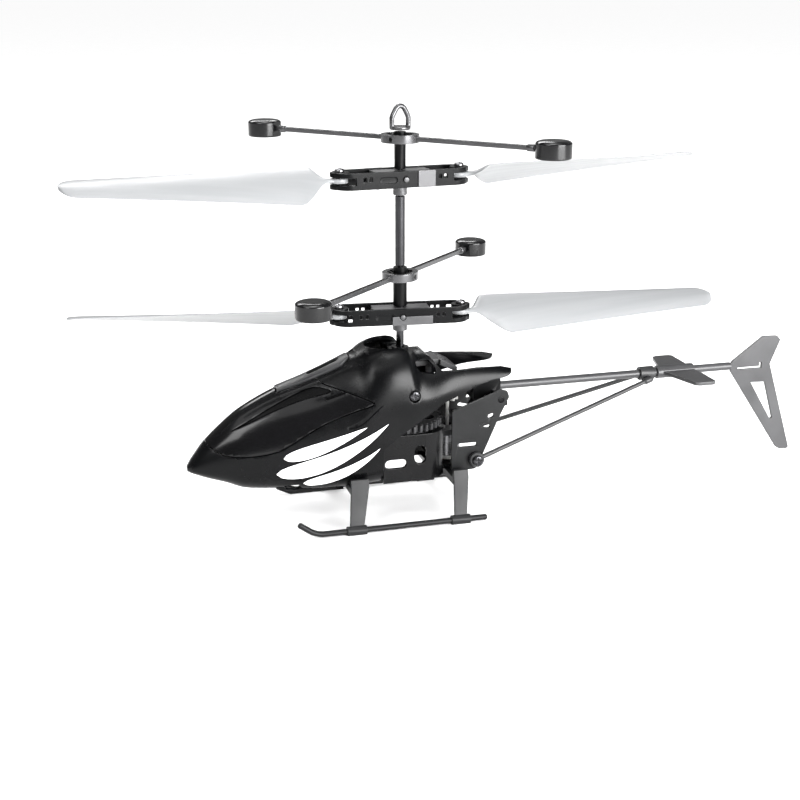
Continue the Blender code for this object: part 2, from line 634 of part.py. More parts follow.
# ---- rotor heads ------------------------------------------------------------------------------
def rotor_core(name, level, angle, bore, neck_radius, material):
    """Block on the mast with a stub on each side for the rocking hub frame."""
    block = box((-0.0078, -0.0024, level - 0.0020), (0.0078, 0.0024, level + 0.0020))
    join(block,
         rod((0, -HUB_HALF_WIDTH - 0.0006, level), (0, HUB_HALF_WIDTH + 0.0006, level), 0.0007, 12),
         rod((0, 0, level - HUB_NECK), (0, 0, level - 0.0010), neck_radius, 14))
    cut(block, rod((0, 0, level - 0.0060), (0, 0, level + 0.0060), bore, 14))
    for x in (-0.0054, 0.0054):
        cut(block, rod((x, -0.0060, level), (x, 0.0060, level), 0.0007, 12))
    return finish(moved(block, angle), name, material, pivot=(0, 0, level))


def stadium(half_length, half_width, segments=5):
    """Long oval outline."""
    straight = half_length - half_width
    points = []
    for sign in (1, -1):
        for k in range(segments + 1):
            t = -math.pi / 2 + math.pi * k / segments
            across, along = half_width * math.cos(t), half_width * math.sin(t)
            points.append((sign * (straight + across), sign * along))
    return points


def hub_frame(name, level, angle, material):
    """Long oval hub frame with a fork for a blade at each end."""
    half = HUB_HEIGHT / 2
    inner = stadium(HUB_HALF_LENGTH - HUB_WALL, HUB_HALF_WIDTH - HUB_WALL)
    frame = plate(stadium(HUB_HALF_LENGTH, HUB_HALF_WIDTH), level - half, level + half, "XY", [inner])
    for sign in (-1, 1):
        arm = plate(stadium(0.0026, 0.0022), level - half, level + half, "XY")
        join(frame, moved(arm, offset=(sign * BLADE_PIN_RADIUS, 0, 0)))
        x0, x1 = sorted((sign * 0.0136, sign * 0.0240))
        cut(frame, box((x0, -0.0050, level - 0.0010), (x1, 0.0050, level + 0.0010)),
            rod((sign * BLADE_PIN_RADIUS, 0, level - 0.0030), (sign * BLADE_PIN_RADIUS, 0, level + 0.0030),
                0.00072, 12))
        x0, x1 = sorted((sign * 0.0092, sign * 0.0118))
        cut(frame, box((x0, -0.0060, level - 0.0010), (x1, 0.0060, level + 0.0012)))
    cut(frame, rod((0, -0.0060, level), (0, 0.0060, level), 0.00078, 12))
    return finish(moved(frame, angle), name, material, pivot=(0, 0, level))


def eased(value):
    """Smooth step from 0 to 1."""
    value = min(1.0, max(0.0, value))
    return value * value * (3 - 2 * value)


def blade_section(r, lead_side):
    """Closed section of a blade at distance r from the mast, drawn along +X."""
    reach = r - BLADE_PIN_RADIUS
    along = min(1.0, max(0.0, (r - 0.0300) / (ROTOR_RADIUS - 0.0300)))
    chord = ROOT_CHORD + (TIP_CHORD - ROOT_CHORD) * along
    lead = 0.0014 + (0.38 * chord - 0.0014) * eased((reach - 0.0026) / 0.0040)
    trail = 0.0014 + (0.62 * chord - 0.0014) * eased((reach - 0.0030) / 0.0100)
    rounding = max(0.0, (0.0040 - (ROTOR_RADIUS - r)) / 0.0040)
    lead *= math.sqrt(1 - 0.93 * rounding ** 2)
    trail *= math.sqrt(1 - 0.93 * rounding ** 2)
    pitch = (ROOT_PITCH + (TIP_PITCH - ROOT_PITCH) * along) * eased((reach - 0.0022) / 0.0050)
    thickness = BLADE_THICKNESS if reach > 0.0040 else 0.0014
    rise = BLADE_RISE * max(0.0, reach - 0.0030)
    points = []
    for top in (True, False):
        for k in range(5):
            u = k / 4 if top else 1 - k / 4
            edge = 4 * u * (1 - u)
            height = 0.05 * (lead + trail - 0.0028) * edge
            height += (0.5 if top else -0.5) * thickness * (0.45 + 0.55 * edge)
            across = lead - u * (lead + trail)
            y = across * math.cos(pitch) - height * math.sin(pitch)
            z = across * math.sin(pitch) + height * math.cos(pitch) + rise
            points.append((r, lead_side * y, z))
    return points


def blade(name, level, angle, lead_side, material):
    """One rotor blade with its round root eye; it folds about its pin."""
    root = (0.0012, 0.0027, 0.0042, 0.0056, 0.0070, 0.0085, 0.0100, 0.0130, 0.0292)
    tip = (0.0266, 0.0106, 0.0036, 0.0018, 0.0006, 0.0)
    stations = [BLADE_PIN_RADIUS + d for d in root] + [ROTOR_RADIUS - d for d in tip]
    wing = loft([blade_section(r, lead_side) for r in stations])
    eye = rod((BLADE_PIN_RADIUS, 0, -0.0007), (BLADE_PIN_RADIUS, 0, 0.0007), 0.0022, 14)
    join(wing, eye)
    cut(wing, rod((BLADE_PIN_RADIUS, 0, -0.0030), (BLADE_PIN_RADIUS, 0, 0.0030), 0.0008, 12))
    pivot = Matrix.Rotation(angle, 3, "Z") @ Vector((BLADE_PIN_RADIUS, 0, 0)) + Vector((0, 0, level))
    return finish(moved(wing, angle, offset=(0, 0, level)), name, material, pivot=pivot, sharp=50.0)


def blade_pin(name, level, angle, material):
    """Screw that holds a blade root in its fork."""
    pin = turned([(0.0006, level - 0.0024), (0.0006, level + 0.0023), (0.0012, level + 0.0023),
                  (0.0013, level + 0.0025), (0.0012, level + 0.0030), (0.0006, level + 0.0032)], 12)
    place = Matrix.Rotation(angle, 3, "Z") @ Vector((BLADE_PIN_RADIUS, 0, 0))
    return finish(moved(pin, offset=place), name, material)


def flybar_post(name, bottom, top, radius, level, angle, bores, material):
    """Collar on the mast with two stubs that the flybar rocks on."""
    post = rod((0, 0, bottom), (0, 0, top), radius, 14)
    join(post, rod((0, -0.0046, level), (0, 0.0046, level), 0.0005, 14))
    for bore, low, high in bores:
        cut(post, rod((0, 0, low), (0, 0, high), bore, 14))
    return finish(moved(post, angle), name, material, pivot=(0, 0, level))


def flybar(name, level, angle, material):
    """Stabiliser bar: eye round the mast, two twin-rib arms, and a stem for each weight."""
    eye = plate(stadium(0.0052, 0.0047, 8), level - 0.0011, level + 0.0011, "XY",
                [stadium(0.0037, 0.0032, 8)])
    for sign in (-1, 1):
        for y in (-0.00035, 0.00035):
            x0, x1 = sorted((sign * 0.0042, sign * (FLYBAR_RADIUS - WEIGHT_RADIUS - 0.0004)))
            join(eye, box((x0, y - 0.0004, level - 0.0006), (x1, y + 0.0004, level + 0.0006)))
        x1 = sign * (FLYBAR_RADIUS + 0.0010)
        join(eye, rod((sign * 0.0370, 0, level), (x1, 0, level), 0.0005, 14))
    cut(eye, rod((0, -0.0070, level), (0, 0.0070, level), 0.00056, 14))
    return finish(moved(eye, angle), name, material, pivot=(0, 0, level))


def flybar_weight(name, level, angle, side, material):
    """Round weight with a dished top, pushed on the end of the flybar."""
    half = WEIGHT_HEIGHT / 2
    r = WEIGHT_RADIUS
    weight = turned([(0.0030, level - half), (r - 0.0004, level - half), (r, level - half + 0.0004),
                     (r, level + half - 0.0003), (r - 0.0003, level + half), (r - 0.0009, level + half),
                     (r - 0.0013, level + half - 0.0004), (0.0012, level + half - 0.0001)], 18)
    moved(weight, offset=(side * FLYBAR_RADIUS, 0, 0))
    outside, facet, bottom_of_bore = (side * (FLYBAR_RADIUS - d) for d in (0.0080, 0.0043, -0.0013))
    x0, x1 = sorted((outside, facet))
    cut(weight, box((x0, -0.0060, level - 0.0040), (x1, 0.0060, level + 0.0040)),
        rod((outside, 0, level), (bottom_of_bore, 0, level), 0.0005 + RUNNING_GAP, 14))
    return finish(moved(weight, angle), name, material)


def mast_sleeve(material):
    """Spacer tube on the inner shaft between the two rotor heads."""
    top = UPPER_ROTOR_LEVEL - HUB_NECK - PIECE_GAP
    tube = ring(INNER_SHAFT_RADIUS + RUNNING_GAP, 0.00138, 0.0696, top, 14)
    return finish(tube, "mast_sleeve", material)


def top_loop(material):
    """Pointed loop on top of the mast, on a small round foot."""
    foot = UPPER_FLYBAR_LEVEL + 0.0022
    peak = LOOP_TOP_LEVEL
    outer = [(-0.0030, foot + 0.0004), (-0.0030, peak - 0.0042), (-0.0012, peak - 0.0006), (0.0, peak),
             (0.0012, peak - 0.0006), (0.0030, peak - 0.0042), (0.0030, foot + 0.0004)]
    inner = [(-0.0018, foot + 0.0009), (-0.0018, peak - 0.0045), (-0.0005, peak - 0.0017),
             (0.0005, peak - 0.0017), (0.0018, peak - 0.0045), (0.0018, foot + 0.0009)]
    strap = plate(outer, -0.0008, 0.0008, "XZ", [inner])
    join(strap, rod((0, 0, foot), (0, 0, foot + 0.0009), 0.0028, 14))
    return finish(moved(strap, math.radians(12)), "top_loop", material)


def rotor(prefix, level, blade_angle, lead_side, bore, neck, pieces):
    """Hub, blades and blade pins of one rotor."""
    rotor_core(prefix + "_hub_core", level, blade_angle, bore, neck, pieces["hub_metal"])
    hub_frame(prefix + "_hub_frame", level, blade_angle, pieces["dark_plastic"])
    for letter, turn in (("a", 0.0), ("b", math.pi)):
        blade(prefix + "_blade_" + letter, level, blade_angle + turn, lead_side, pieces["blade_plastic"])
        blade_pin(prefix + "_blade_pin_" + letter, level, blade_angle + turn, pieces["steel"])


# ---- tail -------------------------------------------------------------------------------------
def tail_boom(material):
    """Thin tube from the clamp to the fin."""
    boom = rod((BOOM_FRONT, 0, BOOM_LEVEL), (BOOM_REAR, 0, BOOM_LEVEL), BOOM_RADIUS, 14)
    cut(boom, rod((BOOM_FRONT - 0.001, 0, BOOM_LEVEL), (BOOM_REAR + 0.001, 0, BOOM_LEVEL), BOOM_BORE, 14))
    return finish(boom, "tail_boom", material)


def tail_fin(material):
    """Swept vertical fin; its front tongue sits in the open end of the boom."""
    slot = [(0.1040, 0.0320), (0.1120, 0.0320), (0.1120, 0.0338), (0.1112, 0.0338), (0.1112, 0.0327),
            (0.1040, 0.0327)]
    half = FIN_THICKNESS / 2
    fin = plate(FIN_OUTLINE, -half, half, "XZ", [FIN_WINDOW, slot])
    join(fin, box((0.0960, -0.0004, BOOM_LEVEL - 0.0005), (0.1024, 0.0004, BOOM_LEVEL + 0.0005)))
    return finish(fin, "tail_fin", material)


def tail_plane(material):
    """Swept horizontal stabiliser with a sleeve on the boom."""
    outline = [(0.0780, 0.0), (0.0800, 0.0030), (0.0832, 0.0140), (0.0845, 0.0146), (0.0888, 0.0146),
               (0.0896, 0.0138), (0.0896, 0.0050), (0.0888, 0.0)]
    outline += [(x, -y) for x, y in reversed(outline[1:-1])]
    wing = plate(outline, BOOM_LEVEL - 0.0005, BOOM_LEVEL + 0.0005, "XY")
    join(wing, rod((0.0776, 0, BOOM_LEVEL), (0.0892, 0, BOOM_LEVEL), BOOM_RADIUS + 0.0007, 14))
    cut(wing, rod((0.0700, 0, BOOM_LEVEL), (0.0950, 0, BOOM_LEVEL), BOOM_RADIUS + RUNNING_GAP, 14))
    return finish(wing, "tail_plane", material)


def strut(name, side, material):
    """Thin brace from the side plate to the clip on the boom."""
    front = Vector((0.0204, side * 0.0111, 0.0163))
    rear = Vector((0.0740, side * 0.0030, BOOM_LEVEL - 0.0012))
    along = (rear - front).normalized()
    bar = rod(front, rear, STRUT_RADIUS, 12)
    eye_y0, eye_y1 = sorted((side * 0.0104, side * 0.0118))
    x, z = STRUT_EYE
    join(bar,
         rod((x, eye_y0, z), (x, eye_y1, z), 0.0021, 14),
         rod(rear - along * 0.0012, rear + along * 0.0010, STRUT_RADIUS + 0.0003, 12))
    cut(bar, rod((x, side * 0.0100, z), (x, side * 0.0125, z), 0.00095, 12))
    return finish(bar, name, material)


def strut_clip(material):
    """Clip round the boom with a socket for each brace."""
    clip = rod((0.0722, 0, BOOM_LEVEL), (0.0766, 0, BOOM_LEVEL), BOOM_RADIUS + 0.0008, 14)
    for side in (-1, 1):
        y0, y1 = sorted((side * 0.0014, side * 0.0017))
        join(clip, box((0.0726, y0, BOOM_LEVEL - 0.0020), (0.0762, y1, BOOM_LEVEL + 0.0002)))
    cut(clip, rod((0.0700, 0, BOOM_LEVEL), (0.0800, 0, BOOM_LEVEL), BOOM_RADIUS + RUNNING_GAP, 14))
    return finish(clip, "strut_clip", material)


# ---- landing gear -----------------------------------------------------------------------------
def skid(name, side, material):
    """Thin skid rod with its front end bent up."""
    y = side * SKID_Y
    z = SKID_LEVEL
    path = [(-0.0328, y, z + 0.0034), (-0.0288, y, z + 0.0009), (-0.0276, y, z + 0.0002),
            (-0.0262, y, z), (-0.0010, y, z), (0.0201, y, z)]
    return finish(bent_rod(path, SKID_TUBE_RADIUS), name, material)


def leg_pair(name, x_top, x_foot, top_width, foot_width, material):
    """Bent strap under the belly with a leg and a skid sleeve on each side."""
    shoulder = 0.0140
    y_top = CHASSIS_HALF_WIDTH + 0.0021
    half_sheet = 0.0005
    strap_bottom = BELLY_LEVEL - 0.0014

    def section(y, z, x, width):
        corners = ((-width, -half_sheet), (width, -half_sheet), (width, half_sheet), (-width, half_sheet))
        return [(x + a / 2, side * (y + b), z) for a, b in corners]

    strap = box((x_top - top_width / 2, -y_top, strap_bottom),
                (x_top + top_width / 2, y_top, BELLY_LEVEL + 0.0006))
    for side in (-1, 1):
        y = side * SKID_Y
        upright = loft([section(y_top - 0.0004, strap_bottom + 0.0001, x_top, top_width),
                        section(y_top - 0.0002, shoulder, x_top, top_width)])
        leg = loft([section(y_top - 0.0002, shoulder, x_top, top_width),
                    section(y_top + 0.0004, shoulder - 0.0020, x_top, top_width),
                    section(SKID_Y, SKID_LEVEL + 0.0003, x_foot, foot_width)])
        sleeve = rod((x_foot - 0.0027, y, SKID_LEVEL), (x_foot + 0.0027, y, SKID_LEVEL), 0.00135, 14)
        join(strap, upright, leg, sleeve)
        cut(strap, rod((x_foot - 0.0050, y, SKID_LEVEL), (x_foot + 0.0050, y, SKID_LEVEL),
                       SKID_TUBE_RADIUS + RUNNING_GAP, 14))
    cut(strap, box((-0.0300, -0.0300, -0.0030), (0.0300, 0.0300, 0.0)))
    return finish(strap, name, material)


# ---- loose fittings ---------------------------------------------------------------------------
def battery(material):
    """Flat rechargeable pack in the nose."""
    return finish(box((-0.0420, -0.0050, 0.0130), (-0.0215, 0.0050, 0.0186)), "battery", material)


def circuit_board(material):
    """Receiver board above the battery, with its two larger parts."""
    board = box((-0.0430, -0.0060, 0.0192), (-0.0212, 0.0060, 0.0202))
    join(board, box((-0.0340, -0.0025, 0.0200), (-0.0290, 0.0025, 0.0213)),
         box((-0.0410, 0.0010, 0.0200), (-0.0385, 0.0045, 0.0216)))
    return finish(board, "circuit_board", material)


def power_switch(material):
    """Slide switch knob that pokes down through a slot in the belly."""
    knob = box((-0.0254, -0.0006, 0.0088), (-0.0240, 0.0006, 0.0116))
    join(knob, box((-0.0272, -0.0012, 0.0112), (-0.0222, 0.0012, 0.0119)))
    return finish(knob, "power_switch", material, pivot=(-0.0247, 0, 0.0100))


def side_screw(name, place, y_head, side, length, material):
    """Small cross-head screw driven in from the side."""
    x, z = place
    head = 0.0015
    screw = rod((x, side * y_head, z), (x, side * (y_head + 0.0007), z), head, 18, head * 0.72)
    join(screw, rod((x, side * (y_head - length), z), (x, side * (y_head + 0.0002), z), 0.00075, 14))
    for turn in (0.0, math.pi / 2):
        blade_box = box((-0.0009, side * (y_head + 0.0005) - 0.0003, -0.00018),
                        (0.0009, side * (y_head + 0.0008) + 0.0003, 0.00018))
        blade_box.data.transform(Matrix.Translation((x, 0, z)) @ Matrix.Rotation(turn, 4, "Y"))
        cut(screw, blade_box)
    return finish(screw, name, material)


# ---- assembly ---------------------------------------------------------------------------------
def build():
    """Make every piece of the helicopter."""
    for obj in list(bpy.data.objects):
        bpy.data.objects.remove(obj)
    pieces = {
        "canopy_plastic": new_material("canopy_plastic", (0.030, 0.031, 0.033), 0.32),
        "window_plastic": new_material("window_plastic", (0.006, 0.006, 0.007), 0.08),
        "trim_plastic": new_material("trim_plastic", (0.045, 0.046, 0.048), 0.38),
        "frame_metal": new_material("frame_metal", (0.075, 0.076, 0.078), 0.42, 0.6),
        "dark_plastic": new_material("dark_plastic", (0.022, 0.022, 0.023), 0.35),
        "hub_metal": new_material("hub_metal", (0.16, 0.16, 0.165), 0.38, 0.7),
        "steel": new_material("steel", (0.30, 0.30, 0.31), 0.28, 1.0),
        "bar_plastic": new_material("bar_plastic", (0.10, 0.10, 0.105), 0.30, 0.4),
        "weight_plastic": new_material("weight_plastic", (0.030, 0.030, 0.031), 0.26),
        "blade_plastic": new_material("blade_plastic", (0.78, 0.79, 0.80), 0.30, 0.0, 0.75),
        "gear_plastic": new_material("gear_plastic", (0.03, 0.03, 0.032), 0.45),
        "tail_metal": new_material("tail_metal", (0.25, 0.25, 0.255), 0.40, 0.5),
        "battery_wrap": new_material("battery_wrap", (0.20, 0.21, 0.24), 0.40),
        "board_green": new_material("board_green", (0.015, 0.10, 0.045), 0.45),
        "white_plastic": new_material("white_plastic", (0.60, 0.60, 0.58), 0.45),
    }
    canopy_body(pieces["canopy_plastic"])
    windshield(pieces["window_plastic"])
    crown_panel(pieces["trim_plastic"])
    chassis_shell(pieces["frame_metal"])
    mast_frame(pieces["trim_plastic"])
    side_plate("side_plate_left", -1, pieces["frame_metal"])
    side_plate("side_plate_right", 1, pieces["frame_metal"])
    boom_clamp(pieces["dark_plastic"])
    battery(pieces["battery_wrap"])
    circuit_board(pieces["board_green"])
    motor("motor_front", -MOTOR_DISTANCE, pieces["steel"])
    motor("motor_rear", MOTOR_DISTANCE, pieces["steel"])
    half_tooth = math.pi / PINION_TEETH
    pinion("pinion_front", -MOTOR_DISTANCE, LOWER_GEAR_LEVEL, half_tooth, pieces["white_plastic"])
    pinion("pinion_rear", MOTOR_DISTANCE, UPPER_GEAR_LEVEL, math.pi + half_tooth, pieces["white_plastic"])
    inner_bore = INNER_SHAFT_RADIUS + RUNNING_GAP
    outer_bore = OUTER_SHAFT_RADIUS + RUNNING_GAP
    main_gear("lower_gear", LOWER_GEAR_LEVEL, inner_bore, math.pi, pieces["gear_plastic"])
    main_gear("upper_gear", UPPER_GEAR_LEVEL, outer_bore, 0.0, pieces["gear_plastic"])
    shafts(pieces["steel"], pieces["dark_plastic"])

    rotor("lower", LOWER_ROTOR_LEVEL, LOWER_BLADE_ANGLE, 1, outer_bore, 0.0020, pieces)
    rotor("upper", UPPER_ROTOR_LEVEL, UPPER_BLADE_ANGLE, -1, inner_bore, 0.0019, pieces)
    flybar_post("lower_flybar_post", LOWER_ROTOR_LEVEL + 0.0023, 0.0692, 0.0019, LOWER_FLYBAR_LEVEL,
                LOWER_FLYBAR_ANGLE,
                ((outer_bore, 0.0500, 0.0691), (inner_bore + RUNNING_GAP, 0.0680, 0.0720)),
                pieces["dark_plastic"])
    flybar_post("upper_flybar_post", UPPER_ROTOR_LEVEL + 0.0023, 0.1052, 0.00155, UPPER_FLYBAR_LEVEL,
                UPPER_FLYBAR_ANGLE, ((inner_bore, 0.0930, 0.1026),),
                pieces["dark_plastic"])
    for prefix, level, angle in (("lower", LOWER_FLYBAR_LEVEL, LOWER_FLYBAR_ANGLE),
                                 ("upper", UPPER_FLYBAR_LEVEL, UPPER_FLYBAR_ANGLE)):
        flybar(prefix + "_flybar", level, angle, pieces["bar_plastic"])
        flybar_weight(prefix + "_weight_a", level, angle, 1, pieces["weight_plastic"])
        flybar_weight(prefix + "_weight_b", level, angle, -1, pieces["weight_plastic"])
    mast_sleeve(pieces["dark_plastic"])
    top_loop(pieces["dark_plastic"])

    tail_boom(pieces["tail_metal"])
    tail_fin(pieces["tail_metal"])
    tail_plane(pieces["tail_metal"])
    strut("strut_left", -1, pieces["trim_plastic"])
    strut("strut_right", 1, pieces["trim_plastic"])
    strut_clip(pieces["trim_plastic"])
    skid("skid_left", -1, pieces["frame_metal"])
    skid("skid_right", 1, pieces["frame_metal"])
    leg_pair("leg_front", -0.0150, -0.0169, 0.0050, 0.0038, pieces["frame_metal"])
    leg_pair("leg_rear", 0.0137, 0.0125, 0.0042, 0.0034, pieces["frame_metal"])
    for name, side in (("left", -1), ("right", 1)):
        side_screw("strut_screw_" + name, STRUT_EYE, 0.0120, side, 0.0040, pieces["steel"])
        side_screw("canopy_screw_" + name, CANOPY_SCREW, 0.0124, side, 0.0040, pieces["steel"])
    power_switch(pieces["white_plastic"])


build()
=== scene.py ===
"""Looks of the toy helicopter with two counter-rotating rotors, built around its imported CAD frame.

Nose towards -X, left side towards -Y, up is +Z, metres.  Points along the fuselage are measured
from the mast, so OFFSET moves them into the frame of the CAD model.
"""

import json
import math

import bmesh
import bpy
from mathutils import Matrix, Vector


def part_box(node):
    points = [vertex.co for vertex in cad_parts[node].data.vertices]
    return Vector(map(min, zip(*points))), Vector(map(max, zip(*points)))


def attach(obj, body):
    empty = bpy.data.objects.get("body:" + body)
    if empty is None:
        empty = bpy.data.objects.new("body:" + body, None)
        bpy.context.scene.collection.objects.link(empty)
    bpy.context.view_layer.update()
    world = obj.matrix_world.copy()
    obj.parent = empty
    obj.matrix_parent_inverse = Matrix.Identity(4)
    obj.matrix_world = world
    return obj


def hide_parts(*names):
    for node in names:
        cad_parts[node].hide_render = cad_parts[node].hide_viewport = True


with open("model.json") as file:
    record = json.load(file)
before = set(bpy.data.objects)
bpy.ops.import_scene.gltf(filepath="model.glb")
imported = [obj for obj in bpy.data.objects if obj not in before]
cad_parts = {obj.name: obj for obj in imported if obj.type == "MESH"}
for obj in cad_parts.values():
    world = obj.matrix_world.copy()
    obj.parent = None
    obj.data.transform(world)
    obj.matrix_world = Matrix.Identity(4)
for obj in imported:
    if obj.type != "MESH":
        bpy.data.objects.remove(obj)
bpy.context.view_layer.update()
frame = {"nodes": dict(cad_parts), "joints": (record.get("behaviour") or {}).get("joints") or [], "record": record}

NODE_BODY = {node: body for body, nodes in frame["record"]["behaviour"]["bodies"].items() for node in nodes}
MAST_LOW, MAST_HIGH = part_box("inner_shaft")
OFFSET = (MAST_LOW.x + MAST_HIGH.x) / 2
TO_FRAME = Matrix.Translation((OFFSET, 0, 0))

CAMERA_DISTANCE = 0.3803
CAMERA_AZIMUTH = 0.27241
CAMERA_DROP = 0.30754
CAMERA_TARGET = Vector((OFFSET, 0, 0.03137))
CAMERA_LENS = 61.51

# Stations of the fuselage skin: x, crown height, belly height, half width, height of the widest
# line, and how square the upper and lower quarters of the section are.
STATIONS = (
    (-0.0598, 0.0178, 0.0164, 0.0012, 0.0170, 2.0, 2.0),
    (-0.0585, 0.0198, 0.0158, 0.0030, 0.0173, 2.0, 2.0),
    (-0.0550, 0.0243, 0.0146, 0.0052, 0.0180, 2.0, 2.4),
    (-0.0500, 0.0290, 0.0132, 0.0072, 0.0188, 2.0, 2.8),
    (-0.0450, 0.0329, 0.0114, 0.0088, 0.0196, 1.9, 3.0),
    (-0.0360, 0.0375, 0.0107, 0.0108, 0.0205, 1.9, 3.2),
    (-0.0280, 0.0403, 0.0099, 0.0120, 0.0220, 1.9, 3.4),
    (-0.0200, 0.0435, 0.0098, 0.0129, 0.0235, 1.9, 3.4),
    (-0.0140, 0.0461, 0.0100, 0.0134, 0.0250, 2.1, 3.4),
    (-0.0098, 0.0481, 0.0102, 0.0137, 0.0260, 2.8, 3.4),
    (-0.0050, 0.0490, 0.0104, 0.0137, 0.0265, 3.4, 3.4),
    (-0.0002, 0.0487, 0.0104, 0.0136, 0.0270, 3.2, 3.4),
    (0.0022, 0.0463, 0.0106, 0.0135, 0.0275, 2.5, 3.4),
    (0.0050, 0.0460, 0.0106, 0.0133, 0.0280, 2.3, 3.4),
    (0.0120, 0.0456, 0.0108, 0.0125, 0.0300, 3.0, 3.4),
    (0.0200, 0.0438, 0.0110, 0.0110, 0.0320, 3.6, 3.4),
    (0.0310, 0.0412, 0.0112, 0.0091, 0.0340, 4.5, 3.4),
)
WALL = 0.0011
GAP = 0.0003
PLATFORM = 0.0460

# Side-view outlines of the fuselage, as (x, z).
WINDSHIELD = (
    (-0.0570, 0.0500), (-0.0570, 0.0266), (-0.0548, 0.0245), (-0.0515, 0.0222), (-0.0480, 0.0217),
    (-0.0430, 0.0218), (-0.0370, 0.0228), (-0.0328, 0.0250), (-0.0258, 0.0292), (-0.0180, 0.0323),
    (-0.0096, 0.0349), (-0.0125, 0.0362), (-0.0185, 0.0383), (-0.0253, 0.0403), (-0.0300, 0.0500))
REAR_CUT = (
    (-0.0080, -0.0020), (-0.0080, 0.0218), (-0.0013, 0.0266), (0.0097, 0.0337),
    (0.0202, 0.0377), (0.0272, 0.0384), (0.0292, 0.0390), (0.0299, 0.0402), (0.0296, 0.0500),
    (0.0400, 0.0500), (0.0400, -0.0020))
TOP_REAR = (
    (0.0052, 0.0560), (0.0052, 0.0457), (0.0068, 0.0450), (0.0092, 0.0417), (0.0400, 0.0411),
    (0.0400, 0.0560))
FLANK_NOTCH = (
    (0.0022, 0.0444), (0.0022, 0.0430), (0.0034, 0.0416), (0.0074, 0.0412), (0.0074, 0.0426),
    (0.0062, 0.0444))
KEEL_OUTLINE = (
    (-0.0368, 0.0114), (-0.0330, 0.0096), (-0.0182, 0.0096), (-0.0182, 0.0130), (-0.0360, 0.0130))
KEEL_WINDOW = ((-0.0352, 0.0128), (-0.0341, 0.0110), (-0.0310, 0.0107), (-0.0301, 0.0116), (-0.0311, 0.0131))
SIDE_WINDOW = (
    (-0.0495, 0.0275), (-0.0433, 0.0309), (-0.0385, 0.0336), (-0.0348, 0.0355), (-0.0290, 0.0380),
    (-0.0258, 0.0390), (-0.0228, 0.0388), (-0.0205, 0.0379), (-0.0284, 0.0361), (-0.0340, 0.0343),
    (-0.0386, 0.0324), (-0.0433, 0.0302))
LOWER_SLOT = ((-0.0232, 0.0363), (-0.0180, 0.0379), (-0.0176, 0.0376), (-0.0228, 0.0359))
SEAM_SCOOP = (
    (-0.0190, 0.0286), (-0.0130, 0.0311), (-0.0082, 0.0348), (-0.0091, 0.0340), (-0.0128, 0.0304),
    (-0.0153, 0.0287))

# Plans, as (x, y).
PLATFORM_OUTLINE = (
    (-0.0032, -0.0092), (-0.0004, -0.0092), (0.0009, -0.0066), (0.0026, -0.0042),
    (0.0026, 0.0042), (0.0009, 0.0066), (-0.0004, 0.0092), (-0.0032, 0.0092))
COWL_PATCH = ((-0.0142, -0.0028), (-0.0128, -0.0024), (-0.0128, 0.0024), (-0.0142, 0.0028))
KEEL_HALF_WIDTH = 0.0076

# Places in side view, as (x, z), and reaches across the fuselage.
CANOPY_SCREW = (0.0006, 0.0362)
STRUT_EYE = (0.0190, 0.0158)
THROUGH = (-0.03, 0.03)
ABOVE = (0.0300, 0.0600)
HOLLOW = (-0.0575, 0.0330, 120)


# ---- mesh tools ----
def from_bmesh(bm):
    """Turn a bmesh into a scene object with outward normals."""
    bmesh.ops.remove_doubles(bm, verts=bm.verts, dist=1e-7)
    bmesh.ops.recalc_face_normals(bm, faces=bm.faces)
    mesh = bpy.data.meshes.new("tool")
    bm.to_mesh(mesh)
    bm.free()
    obj = bpy.data.objects.new("tool", mesh)
    bpy.context.scene.collection.objects.link(obj)
    return obj


def loft(rings, closed=False):
    """Skin equally long point rings; cap both ends, or join the last ring to the first."""
    bm = bmesh.new()
    loops = [[bm.verts.new(point) for point in ring] for ring in rings]
    pairs = list(zip(loops, loops[1:]))
    if closed:
        pairs.append((loops[-1], loops[0]))
    count = len(loops[0])
    for first, second in pairs:
        for i in range(count):
            j = (i + 1) % count
            bm.faces.new((first[i], first[j], second[j], second[i]))
    if not closed:
        bm.faces.new(loops[0])
        bm.faces.new(loops[-1])
    return from_bmesh(bm)


def block(low, high):
    """Axis-aligned block between two corners."""
    corners = ((low[0], low[1]), (high[0], low[1]), (high[0], high[1]), (low[0], high[1]))
    return loft([[(x, y, z) for x, y in corners] for z in (low[2], high[2])])


def turned(profile, centre=(0.0, 0.0), segments=56, closed=False):
    """Solid of revolution about a vertical axis from (radius, z) pairs, bottom to top."""
    turns = [2 * math.pi * k / segments for k in range(segments)]
    rings = [[(centre[0] + r * math.cos(t), centre[1] + r * math.sin(t), z) for t in turns]
             for r, z in profile]
    return loft(rings, closed)


def swept(path, radii, segments=28, squash=1.0):
    """Round bar along a path, with a radius at each point."""
    path = [Vector(point) for point in path]
    rings = []
    for i, point in enumerate(path):
        along = (path[min(i + 1, len(path) - 1)] - path[max(i - 1, 0)]).normalized()
        helper = Vector((0, 1, 0)) if abs(along.y) < 0.9 else Vector((0, 0, 1))
        side = along.cross(helper).normalized()
        other = along.cross(side)
        turns = (2 * math.pi * k / segments for k in range(segments))
        rings.append([point + radii[i] * (math.cos(a) * side + squash * math.sin(a) * other) for a in turns])
    return loft(rings)


def rod(start, end, radius, chamfer=0.0, segments=36):
    """Round bar with eased ends."""
    start, end = Vector(start), Vector(end)
    along = (end - start).normalized()
    if chamfer == 0:
        return swept([start, end], [radius, radius], segments)
    return swept([start, start + along * chamfer, end - along * chamfer, end],
                 [radius - chamfer, radius, radius, radius - chamfer], segments)


